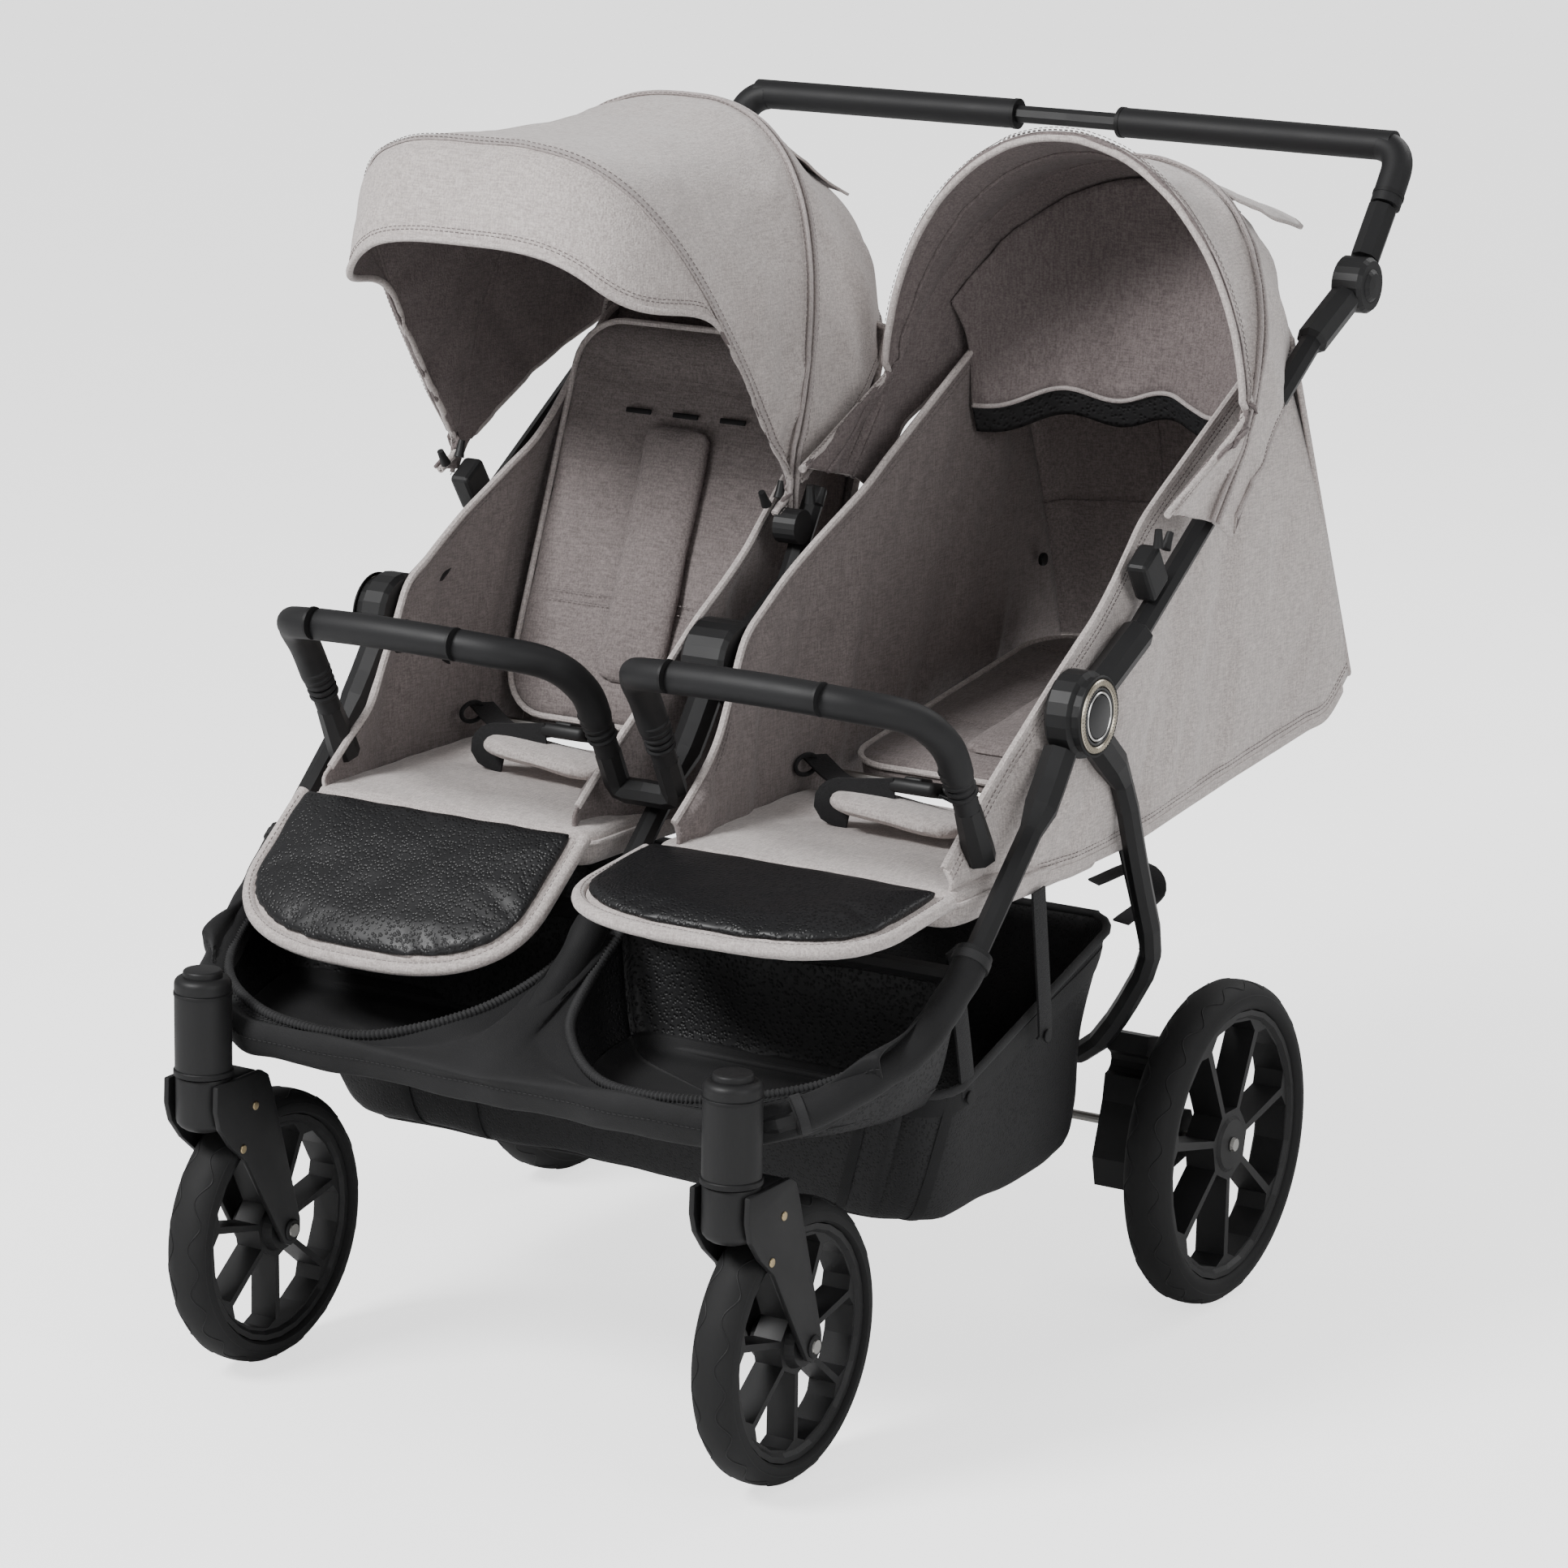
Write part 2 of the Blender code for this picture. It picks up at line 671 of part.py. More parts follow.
def brake_pedal():
    """Foot pedal behind the rear cross tube, on a sleeve that turns on the tube."""
    y, z = REAR_BAR
    bore, outer, half = TUBE_R + 0.0006, 0.0165, 0.045
    profile = [(bore, half), (outer, half), (outer, -half), (bore, -half)]
    sleeve = along_x(turned_mesh(profile, 20, closed=True), (0, y, z))
    plate = box_mesh((-0.055, y + 0.0145, z - 0.008), (0.055, y + 0.058, z + 0.002), 0.003)
    axis = pivot("brake_axis", (0, y, z), FOLD_REAR_PIVOT)
    put("brake_pedal", smooth(combined([sleeve, plate])), MOULDED_BLACK, axis)


# ---- bumper bars --------------------------------------------------------------------------------
BUMPER_X = (0.030, 0.330)
BUMPER_R = 0.0140
SOCKET_TOP = (-0.2335, 0.5495)
SOCKET_LOW = (-0.2145, 0.5125)
PULL_OUT = Vector((0, SOCKET_TOP[0] - SOCKET_LOW[0], SOCKET_TOP[1] - SOCKET_LOW[1])).normalized()


def bumper_bar(side_name, side):
    """Foam-covered bar in front of a seat; it pulls out of its two sockets."""
    inner, outer = BUMPER_X
    foot = Vector((0, *SOCKET_TOP)) + PULL_OUT * 0.0006
    half_path = []
    for x, lean in ((outer, -1), (inner, 1)):
        leg = [
            (x, foot.y, foot.z),
            (x, -0.264, 0.604),
            (x + lean * 0.008, -0.302, 0.640),
            (x + lean * 0.055, -0.346, 0.654),
            (SEAT_X, -0.354, 0.657),
        ]
        half_path.append(leg)
    path = half_path[0] + half_path[1][-2::-1]
    path = [(side * x, y, z) for x, y, z in path]

    def thick(p):
        return 0.8 if p.z < 0.575 else 1.0

    bar = tube_mesh(rounded(path, 0.035), BUMPER_R, thick)
    axis = pivot(f"bumper_axis_{side_name}", (side * SEAT_X, foot.y, foot.z))
    put(f"bumper_bar_{side_name}", bar, GRIP_FOAM, axis)


def outer_socket(side_name, side):
    """Socket on the side leg that holds a bumper bar's outer end."""
    x = side * BUMPER_X[1]
    low = Vector((x, *SOCKET_LOW)) - PULL_OUT * 0.012
    path = [low, Vector((x, *SOCKET_LOW)), Vector((x, *SOCKET_TOP))]

    def thick(p):
        return 1.0 if p.z > 0.52 else 1.2

    put(f"bumper_socket_{side_name}", tube_mesh(path, 0.0118, thick), MOULDED_BLACK)


def middle_socket():
    """Double socket on the middle leg, for the inner ends of both bumper bars."""
    x = BUMPER_X[0]
    half = [(x, *SOCKET_TOP), (x, *SOCKET_LOW), (0.0, SOCKET_LOW[0] - 0.002, SOCKET_LOW[1] + 0.001)]
    put("bumper_socket_middle", tube_mesh(mirrored(rounded(half, 0.010)), 0.0118), MOULDED_BLACK)


# ---- seats --------------------------------------------------------------------------------------
SEAT_HALF = 0.1525
SEAT_FRONT_Y = -0.258
SEAT_REAR_Y = 0.014


def seat_pad(side_name, side):
    """Padded seat on its board."""
    x = side * SEAT_X
    low = (x - SEAT_HALF, SEAT_FRONT_Y, SEAT_TOP - 0.036)
    mesh = box_mesh(low, (x + SEAT_HALF, SEAT_REAR_Y, SEAT_TOP), 0.008)
    put(f"seat_{side_name}", mesh, FABRIC_GREY)


BACK_LENGTH = 0.395
BACK_HALF = 0.136


def back_hinge(side_name, side):
    """Fixed rod across the rear of a seat, that the backrest turns on."""
    rod = turned_mesh(cylinder_profile(0.0055, SEAT_HALF), 10)
    put(f"back_hinge_{side_name}", along_x(rod, (side * SEAT_X, *BACK_HINGE)), STEEL)


def backrest(side_name, side):
    """Padded board that turns about the hinge rod."""
    place = pivot(f"recline_axis_{side_name}", (side * SEAT_X, *BACK_HINGE))
    board = box_mesh((-BACK_HALF, 0.0065, -0.016), (BACK_HALF, BACK_LENGTH, 0.010), 0.007)
    obj = put(f"backrest_{side_name}", board, FABRIC_GREY)
    obj.parent = place
    obj.rotation_euler = (math.radians(BACK_ANGLE[side_name]), 0, 0)


LEGREST_LENGTH = 0.166
LEGREST_HALF = 0.152
LEGREST_THICK = 0.018


def legrest(side_name, side):
    """Calf rest with a rounded front edge, hinged at the seat's front."""
    outline = [(-LEGREST_HALF, -0.004), (LEGREST_HALF, -0.004), (LEGREST_HALF, -0.075)]
    turns = 8
    for i in range(1, turns):
        a = math.pi * i / turns
        x = LEGREST_HALF * math.cos(a)
        y = -0.075 - (LEGREST_LENGTH - 0.075) * math.sin(a) ** 0.8
        outline.append((x, y))
    outline.append((-LEGREST_HALF, -0.075))
    place = pivot(f"legrest_axis_{side_name}", (side * SEAT_X, *LEGREST_HINGE))
    obj = put(f"legrest_{side_name}", flat_mesh(outline, LEGREST_THICK), FABRIC_GREY)
    obj.parent = place
    obj.rotation_euler = (math.radians(LEGREST_DROOP[side_name]), 0, 0)


SIDE_TOP = [(-0.250, 0.500), (-0.190, 0.545), (-0.100, 0.640), (0.000, 0.700), (0.100, 0.760)]


def interpolate(table, y):
    """Height of a (y, z) polyline at this y."""
    for (y0, z0), (y1, z1) in zip(table, table[1:]):
        if y <= y1:
            return z0 + (z1 - z0) * (max(y, y0) - y0) / (y1 - y0)
    return table[-1][1]


def seat_sides(side_name, side):
    """Fabric side walls of a seat and the panel behind its back, as one sheet."""
    if side_name == "right":
        bottom = [(-0.25, 0.488), (0.02, 0.488), (0.04, 0.458), (0.227, 0.490), (0.490, 0.518)]
        top = SIDE_TOP + [(0.290, 0.860), (0.345, 0.900), (0.392, 0.928)]
        rear_low, rear_top = 0.486, 0.392
    else:
        bottom = [(-0.25, 0.488), (0.02, 0.488), (0.04, 0.462), (0.090, 0.470)]
        top = SIDE_TOP + [(0.200, 0.850), (0.240, 0.870)]
        rear_low, rear_top = 0.085, 0.230
    inner_x, outer_x, pinch = 0.0265, 0.3405, 0.026
    levels = (0.0, 0.5, 1.0)
    ys = [-0.250, -0.190, -0.120, -0.050, 0.020, 0.060]
    shares = (0.35, 0.7, 1.0) if side_name == "right" else (1.0,)

    def column(x, y_low, y_top):
        low, high = interpolate(bottom, y_low), interpolate(top, y_top)
        return [(side * x, y_low + (y_top - y_low) * t, low + (high - low) * t) for t in levels]

    def wall(x, inward):
        columns = [column(x + inward * pinch * min(1, max(0, (-0.10 - y) / 0.09)), y, y) for y in ys]
        for share in shares:
            y_low = ys[-1] + (rear_low - ys[-1]) * share
            y_top = ys[-1] + (rear_top - ys[-1]) * share
            columns.append(column(x, y_low, y_top))
        return columns

    inner, outer = wall(inner_x, 1), wall(outer_x, -1)
    columns = inner + outer[::-1]
    rows = [[columns[c][r] for c in range(len(columns))] for r in range(len(levels))]
    if side > 0:
        rows = rows[::-1]
    sheet(f"seat_sides_{side_name}", rows, FABRIC, FABRIC_GREY)


# ---- canopies -----------------------------------------------------------------------------------
CANOPY_X = (0.0115, 0.3785)  # inner and outer side of a canopy
CANOPY_MID_X = (CANOPY_X[0] + CANOPY_X[1]) / 2
CANOPY_HALF = (CANOPY_X[1] - CANOPY_X[0]) / 2
BOW_R = 0.0018
BOSS_CLEAR = 0.024  # from the canopy axis to a bow's foot
HOOP_STEPS = 14
HOOP_ANGLES = [math.pi * (0.004 + 0.992 * i / HOOP_STEPS) for i in range(HOOP_STEPS + 1)]


def hoop_point(side, centre, radius, tilt, shape, angle, half):
    """A point of a rounded hoop about a (y, z) centre, from its outer foot (0) to its inner one (pi)."""
    power = 2 / shape
    across = math.copysign(abs(math.cos(angle)) ** power, math.cos(angle))
    y, z = polar(centre, radius * abs(math.sin(angle)) ** power, 180.0 - tilt)
    return Vector((side * (CANOPY_MID_X + half * across), y, z))


def canopy_bow(name, side, hoop, parent):
    """Spring-steel bow just inside the canopy. Its feet end above the hinge boss."""
    centre, radius, tilt, shape = hoop
    inset = 0.007  # from the canopy's outer side to the bow
    arch = [
        hoop_point(side, centre, radius - inset, tilt, shape, angle, CANOPY_HALF - inset)
        for angle in HOOP_ANGLES[1:-1]
    ]
    feet = []
    for end, across in ((arch[0], 1), (arch[-1], -1)):
        axis = Vector((side * (CANOPY_MID_X + across * (CANOPY_HALF - inset)), *CANOPY_AXIS))
        feet.append(axis + (end - axis).normalized() * BOSS_CLEAR)
    put(name, tube_mesh([feet[0]] + arch + [feet[1]], BOW_R), STEEL, parent)


def canopy_row(side, hoop, foot, visor=0.0):
    """One line of the canopy's fabric: foot, hoop, foot. A visor drops the top of its hoop."""
    centre, radius, tilt, shape = hoop
    row = []
    for angle in HOOP_ANGLES:
        point = hoop_point(side, centre, radius, tilt, shape, angle, CANOPY_HALF)
        share = min(1.0, max(0.0, (math.sin(angle) - 0.30) / 0.45))
        row.append(point + Vector((0, -0.42, -1)) * visor * share)
    return [Vector((row[0].x, *foot))] + row + [Vector((row[-1].x, *foot))]


def between(row_a, row_b, share):
    return [a.lerp(b, share) for a, b in zip(row_a, row_b)]


def canopy(side_name, side):
    """Canopy fabric over both bows: visor or front hem in front, panel down to the back behind."""
    hoops = HOOPS[side_name]
    if side_name == "left":
        front = canopy_row(side, hoops["front"], (0.010, 0.738))
        rim = canopy_row(side, hoops["front"], (-0.002, 0.734), 0.080)
        rear = canopy_row(side, hoops["rear"], (0.034, 0.740))
        tail = canopy_row(side, hoops["tail"], (0.048, 0.748))
    else:
        front = canopy_row(side, hoops["front"], (0.022, 0.770))
        rim = [p + Vector((0, -0.006, 0.001)) for p in front]
        rear = canopy_row(side, hoops["rear"], (0.105, 0.754))
        tail = canopy_row(side, hoops["tail"], (0.145, 0.745))
    rows = [rim, front, between(front, rear, 0.5), rear, tail]
    if side > 0:
        rows = rows[::-1]
    sheet(f"canopy_{side_name}", rows, FABRIC, FABRIC_GREY, FOLD_PIVOT)


# ---- basket and footwells -----------------------------------------------------------------------
def apron():
    """Fabric footwell behind the front crossbar: front band, floor and rear wall."""
    front_band = [(-0.4815, 0.348), (-0.4830, 0.303)]
    floor = [(-0.470, 0.296), (-0.360, 0.292), (-0.280, 0.296)]
    rear_wall = [(-0.262, 0.330), (-0.2585, 0.395)]
    xs = [0.236, 0.118, 0.0, -0.118, -0.236]
    rows = [[(x, y, z) for x in xs] for y, z in front_band + floor + rear_wall]
    sheet("apron", rows, FABRIC, FABRIC_BLACK)


def basket_ring(front, rear):
    """Four corners of the basket at one level, from its right front and right rear ones."""
    corners = [front, rear]
    return corners + [(-x, y, z) for x, y, z in reversed(corners)]


def basket():
    """Hanging basket: an open shell below the seats."""
    rings = [
        basket_ring((0.300, -0.250, 0.186), (0.295, 0.040, 0.178)),
        basket_ring((0.322, -0.262, 0.200), (0.305, 0.055, 0.190)),
        basket_ring((0.338, -0.270, 0.285), (0.284, 0.078, 0.300)),
        basket_ring((0.338, -0.215, 0.372), (0.300, 0.118, 0.384)),
    ]
    shape = bmesh.new()
    layers = [[shape.verts.new(p) for p in ring] for ring in rings]
    shape.faces.new(layers[0])
    for lower, upper in zip(layers, layers[1:]):
        for i in range(4):
            j = (i + 1) % 4
            shape.faces.new((lower[i], upper[i], upper[j], lower[j]))
    bmesh.ops.recalc_face_normals(shape, faces=shape.faces)
    mesh = bpy.data.meshes.new("basket")
    shape.to_mesh(mesh)
    shape.free()
    obj = put("basket", mesh, FABRIC_BLACK)
    solid = obj.modifiers.new("thickness", "SOLIDIFY")
    solid.thickness = FABRIC
    solid.offset = -1.0


# ---- assembly -----------------------------------------------------------------------------------
clear_scene()
STROLLER = new_collection("twin_stroller")
WORKSHOP = new_collection("workshop")

FRAME_BLACK = material("frame_black", (0.018, 0.018, 0.019), 0.45)
MOULDED_BLACK = material("moulded_black", (0.020, 0.020, 0.021), 0.55)
GRIP_FOAM = material("grip_foam", (0.022, 0.022, 0.023), 0.65)
TYRE = material("tyre", (0.016, 0.016, 0.017), 0.80)
STEEL = material("steel", (0.45, 0.44, 0.42), 0.35, 0.9)
FABRIC_GREY = material("fabric_grey", (0.50, 0.47, 0.45), 0.92)
FABRIC_BLACK = material("fabric_black", (0.014, 0.014, 0.015), 0.90)

FOLD_PIVOT = pivot("fold_axis", (0, *FOLD))
FOLD_REAR_PIVOT = pivot("rear_fold_axis", (0, *FOLD))
HANDLE_PIVOT = pivot("handle_axis", (0, *HANDLE_AXIS), FOLD_PIVOT)

front_frame()
middle_hub()
middle_post()
handle_bar()
rear_frame()
brake_pedal()
middle_socket()
apron()
basket()
axle("rear_axle", -HUB_FACE_X, HUB_FACE_X, *REAR_AXLE, FOLD_REAR_PIVOT)

FRONT_RIM, FRONT_TYRE = rim_mesh(FRONT_WHEEL), tyre_mesh(FRONT_WHEEL)
REAR_RIM, REAR_TYRE = rim_mesh(REAR_WHEEL), tyre_mesh(REAR_WHEEL)

for name, sign in SIDES:
    side_hub(name, sign)
    upper_tube(name, sign)
    canopy_clip(name, sign)
    handle_joint(name, sign)
    handle_button(name, sign)
    grip(name, sign)

    caster_housing(name, sign)
    caster_lock(name, sign)
    swivel = pivot(f"swivel_axis_{name}", (sign * CASTER[0], CASTER[1], HOUSING_BOTTOM))
    caster_fork(name, sign, swivel)
    wheel_y = CASTER[1] + FRONT_TRAIL
    front_place = (sign * CASTER[0], wheel_y, FRONT_WHEEL["radius"])
    reach = FORK_OUTER + 0.0035
    axle(f"front_axle_{name}", front_place[0] - reach, front_place[0] + reach, *front_place[1:], swivel)
    wheel("front", name, front_place, FRONT_RIM, FRONT_TYRE, swivel)
    rear_place = (sign * REAR_WHEEL_X, *REAR_AXLE)
    wheel("rear", name, rear_place, REAR_RIM, REAR_TYRE, FOLD_REAR_PIVOT)
    rear_bracket(name, sign)

    outer_socket(name, sign)
    bumper_bar(name, sign)
    seat_pad(name, sign)
    back_hinge(name, sign)
    backrest(name, sign)
    legrest(name, sign)
    seat_sides(name, sign)

    bow_axis = pivot(f"canopy_axis_{name}", (sign * SEAT_X, *CANOPY_AXIS), FOLD_PIVOT)
    rear_bow_axis = pivot(f"rear_bow_axis_{name}", (sign * SEAT_X, *CANOPY_AXIS), FOLD_PIVOT)
    canopy_bow(f"canopy_front_bow_{name}", sign, HOOPS[name]["front"], bow_axis)
    canopy_bow(f"canopy_rear_bow_{name}", sign, HOOPS[name]["rear"], rear_bow_axis)
    canopy(name, sign)
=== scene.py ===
"""Looks of the side-by-side twin stroller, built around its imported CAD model.

Metres, in the CAD frame: +Z up, the front towards -Y. "left" is -X and "right" is +X, seen from in front.
"""

import json
import math

import bmesh
import bpy
import numpy as np
from mathutils import Matrix, Vector, noise


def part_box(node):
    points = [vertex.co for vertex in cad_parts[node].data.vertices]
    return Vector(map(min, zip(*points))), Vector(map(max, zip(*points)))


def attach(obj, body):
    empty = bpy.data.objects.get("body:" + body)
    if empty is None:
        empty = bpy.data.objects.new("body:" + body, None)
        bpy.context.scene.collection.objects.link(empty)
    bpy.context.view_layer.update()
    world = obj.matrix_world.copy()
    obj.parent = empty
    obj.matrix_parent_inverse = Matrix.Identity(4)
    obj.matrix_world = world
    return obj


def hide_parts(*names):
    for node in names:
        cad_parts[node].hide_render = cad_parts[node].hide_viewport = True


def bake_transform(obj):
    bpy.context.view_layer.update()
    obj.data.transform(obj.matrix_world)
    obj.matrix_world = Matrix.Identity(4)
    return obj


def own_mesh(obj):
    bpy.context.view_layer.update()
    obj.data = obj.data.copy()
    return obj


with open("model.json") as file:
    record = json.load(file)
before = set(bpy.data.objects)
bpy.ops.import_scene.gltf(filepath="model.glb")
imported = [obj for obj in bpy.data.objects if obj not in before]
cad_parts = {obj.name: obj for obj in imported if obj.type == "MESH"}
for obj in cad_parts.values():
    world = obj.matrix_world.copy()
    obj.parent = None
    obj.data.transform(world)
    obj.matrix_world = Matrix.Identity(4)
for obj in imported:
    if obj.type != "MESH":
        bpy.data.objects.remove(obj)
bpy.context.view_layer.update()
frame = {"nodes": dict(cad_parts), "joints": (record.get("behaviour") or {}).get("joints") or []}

SIDES = (("left", -1), ("right", 1))
ROOT, UPPER, HANDLE = "front_frame", "upper_frame", "handle"


# ---- places taken from the CAD model ----
def axis_place(joint):
    return Vector(next(j for j in frame["joints"] if j["name"] == joint)["pos_m"])


FOLD = axis_place("frame_fold")
CANOPY_AXIS = axis_place("canopy_open_left")
BACK_HINGE = axis_place("recline_left")
LEGREST_HINGE = axis_place("legrest_tilt_left")
SEAT_LOW, SEAT_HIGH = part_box("seat_right")
SEAT_X = ((SEAT_LOW + SEAT_HIGH) / 2).x
SEAT_TOP = SEAT_HIGH.z


# ---- materials ----
class Shader:
    """A material's node tree, built from the Principled node backwards."""

    def __init__(self, name, roughness, metallic=0.0, **inputs):
        self.material = bpy.data.materials.new(name)
        self.material.use_nodes = True
        self.tree = self.material.node_tree
        self.main = self.tree.nodes["Principled BSDF"]
        self.give(self.main, Roughness=roughness, Metallic=metallic, **inputs)
        self.coords = self.tree.nodes.new("ShaderNodeTexCoord").outputs["Object"]

    def put(self, socket, value):
        """Links another node's output to a socket, or sets the socket's value."""
        if hasattr(value, "is_output"):
            self.tree.links.new(value, socket)
        else:
            socket.default_value = (*value, 1) if socket.type == "RGBA" else value

    def give(self, node, **inputs):
        for key, value in inputs.items():
            self.put(node.inputs[key.replace("_", " ")], value)
        return node

    def node(self, kind, **inputs):
        return self.give(self.tree.nodes.new(kind), **inputs)

    def scaled(self, x, y, z):
        return self.node("ShaderNodeMapping", Vector=self.coords, Scale=(x, y, z)).outputs[0]

    def noise(self, vector, scale=1.0, detail=2.0):
        return self.node("ShaderNodeTexNoise", Vector=vector, Scale=scale, Detail=detail).outputs["Fac"]

    def cells(self, scale):
        return self.node("ShaderNodeTexVoronoi", Vector=self.coords, Scale=scale).outputs["Distance"]

    def maths(self, operation, a, b):
        made = self.node("ShaderNodeMath")
        made.operation = operation
        self.put(made.inputs[0], a)
        self.put(made.inputs[1], b)
        return made.outputs[0]

    def times(self, a, b):
        return self.maths("MULTIPLY", a, b)

    def plus(self, a, b):
        return self.maths("ADD", a, b)

    def ramp(self, value, low, high, dark, light):
        made = self.node("ShaderNodeValToRGB")
        for end, place, tone in zip(made.color_ramp.elements, (low, high), (dark, light)):
            end.position, end.color = place, (*tone, 1)
        self.put(made.inputs[0], value)
        return made.outputs[0]

    def mix(self, share, a, b):
        made = self.node("ShaderNodeMix")
        made.data_type = "RGBA"
        for place, value in ((0, share), (6, a), (7, b)):
            self.put(made.inputs[place], value)
        return made.outputs[2]

    def colour(self, output):
        self.give(self.main, Base_Color=output)

    def bump(self, height, strength, distance):
        made = self.node("ShaderNodeBump", Height=height, Strength=strength, Distance=distance)
        self.give(self.main, Normal=made.outputs[0])


def shade(tone, share):
    return tuple(c * share for c in tone)


def melange(name, light, dark, thread=0.0014, sheen=0.35):
    """Woven cloth of light and dark yarn: crossed streaks, slow shade changes and a fine weave."""
    s = Shader(name, 0.92, Sheen_Weight=sheen, Sheen_Roughness=0.5)
    fine, long = 1 / thread, 0.12 / thread
    across = s.noise(s.scaled(long, fine, fine))
    down = s.noise(s.scaled(fine, long, fine))
    upright = s.noise(s.scaled(fine, fine, long))
    yarn = s.times(s.plus(s.plus(across, down), upright), 1 / 3)
    cloth = s.ramp(yarn, 0.40, 0.60, dark, light)
    slow = s.noise(s.coords, 9.0, 3.0)
    s.colour(s.mix(s.times(slow, 0.22), cloth, shade(dark, 0.72)))
    s.bump(s.plus(s.cells(0.75 / thread), s.times(yarn, 1.5)), 0.45, 0.0008)
    return s.material


def coated(name, tone):
    """Dense cloth with a slight shine and soft creases."""
    s = Shader(name, 0.72, Sheen_Weight=0.05, Specular_IOR_Level=0.3)
    s.colour(s.ramp(s.noise(s.coords, 14.0, 4.0), 0.3, 0.75, shade(tone, 0.7), shade(tone, 1.35)))
    creases = s.noise(s.scaled(9, 14, 22), 1.0, 5.0)
    s.bump(s.plus(s.times(creases, 2.2), s.noise(s.coords, 900.0)), 0.35, 0.0012)
    return s.material


def netting(name, tone, pitch, roughness, gloss=0.0):
    """Sport mesh: rows of small round holes in a black knit."""
    s = Shader(name, roughness, Coat_Weight=gloss, Coat_Roughness=0.35, Specular_IOR_Level=0.35)
    holes = s.cells(1 / pitch)
    # the holes are painted darker than the knit: painted shade in them
    s.colour(s.ramp(holes, 0.18, 0.42, shade(tone, 0.25), tone))
    s.bump(s.ramp(holes, 0.15, 0.5, (0, 0, 0), (1, 1, 1)), 0.45, pitch * 0.4)
    return s.material


def moulded(name, tone, roughness=0.5, grain=1400.0, wear=0.05):
    """Fine-grained plastic or powder coat, a little lighter where its edges are rubbed."""
    s = Shader(name, roughness, Specular_IOR_Level=0.35)
    smears = s.noise(s.coords, 26.0, 4.0)
    base = s.mix(s.times(smears, 0.5), tone, shade(tone, 1.5))
    edge = s.node("ShaderNodeNewGeometry").outputs["Pointiness"]
    rubbed = s.ramp(edge, 0.53, 0.62, (0, 0, 0), (wear * 4,) * 3)
    s.colour(s.mix(rubbed, base, tuple(c + wear for c in tone)))
    rough = s.node("ShaderNodeMapRange", Value=smears, To_Min=roughness - 0.07, To_Max=roughness + 0.1)
    s.give(s.main, Roughness=rough.outputs[0])
    s.bump(s.noise(s.coords, grain), 0.25, 0.0004)
    return s.material


def brushed(name, tone, roughness):
    """Metal with fine lines along X."""
    s = Shader(name, roughness, 1.0)
    lines = s.noise(s.scaled(60, 2200, 2200), 1.0, 3.0)
    s.colour(s.ramp(lines, 0.3, 0.7, shade(tone, 0.8), tone))
    s.bump(lines, 0.2, 0.0003)
    return s.material


def webbing(name, tone):
    """Woven strap: narrow ribs."""
    s = Shader(name, 0.7, Sheen_Weight=0.08, Specular_IOR_Level=0.3)
    ribs = s.noise(s.scaled(1500, 300, 1500), 1.0, 1.0)
    s.colour(s.ramp(ribs, 0.35, 0.65, shade(tone, 0.5), shade(tone, 1.4)))
    s.bump(ribs, 0.6, 0.0008)
    return s.material


GREY = melange("cloth_grey", (0.67, 0.612, 0.588), (0.385, 0.340, 0.328))
# darker copy of the grey cloth for the canopies' undersides, inner bands and flaps: painted shade
LINING_PAINTED_SHADE = melange("cloth_lining", (0.225, 0.190, 0.186), (0.120, 0.098, 0.097), 0.0015, 0.1)
# darker copy of the grey cloth for the seats' insides and backrests: painted shade
SEAT_CLOTH_PAINTED_SHADE = melange("cloth_seat", (0.275, 0.238, 0.231), (0.150, 0.126, 0.123), 0.0015, 0.15)
EDGING = melange("cloth_edging", (0.52, 0.47, 0.455), (0.32, 0.28, 0.275), 0.0010)
THREAD = coated("thread", (0.20, 0.175, 0.17))
BLACK_CLOTH = coated("black_cloth", (0.0085, 0.0085, 0.0092))
BLACK_THREAD = coated("black_thread", (0.020, 0.020, 0.021))
SPORT_MESH = netting("sport_mesh", (0.0085, 0.0085, 0.0095), 0.0034, 0.42, 0.05)
FOOT_MESH = netting("foot_mesh", (0.012, 0.012, 0.013), 0.0034, 0.5)
BASKET_MESH = netting("basket_mesh", (0.010, 0.010, 0.011), 0.0026, 0.6)
VENT_MESH = netting("vent_mesh", (0.016, 0.016, 0.017), 0.0042, 0.6)
POWDER = moulded("powder_black", (0.0090, 0.0090, 0.0096), 0.42, wear=0.02)
PLASTIC = moulded("moulded_black", (0.0085, 0.0085, 0.0090), 0.48, wear=0.02)
PLASTIC_DARK = moulded("moulded_deep", (0.0055, 0.0055, 0.0060), 0.55, wear=0.01)
GLOSS = moulded("gloss_black", (0.008, 0.008, 0.009), 0.16)
FOAM = moulded("foam", (0.0090, 0.0090, 0.0098), 0.55, 700.0, 0.006)
RUBBER = moulded("tyre_rubber", (0.0080, 0.0080, 0.0084), 0.70, 900.0, 0.008)
ZINC = brushed("zinc", (0.46, 0.45, 0.43), 0.32)
BRASS = brushed("rivet_brass", (0.55, 0.44, 0.26), 0.30)
CHAMPAGNE = brushed("champagne_ring", (0.52, 0.47, 0.38), 0.28)
BRIGHT = brushed("bright_ring", (0.75, 0.74, 0.72), 0.22)
STRAP = webbing("strap_black", (0.010, 0.010, 0.011))

# the record's material slots; CAD nodes that stay wear the first look of their slot
SLOTS = {
    "frame_black": (POWDER,),
    "moulded_black": (PLASTIC, PLASTIC_DARK, GLOSS),
    "grip_foam": (FOAM,),
    "tyre": (RUBBER,),
    "steel": (ZINC, BRASS, CHAMPAGNE, BRIGHT),
    "fabric_grey": (GREY, LINING_PAINTED_SHADE, SEAT_CLOTH_PAINTED_SHADE, EDGING, THREAD),
    "fabric_black": (BLACK_CLOTH, BLACK_THREAD, SPORT_MESH, FOOT_MESH, BASKET_MESH, VENT_MESH, STRAP),
}


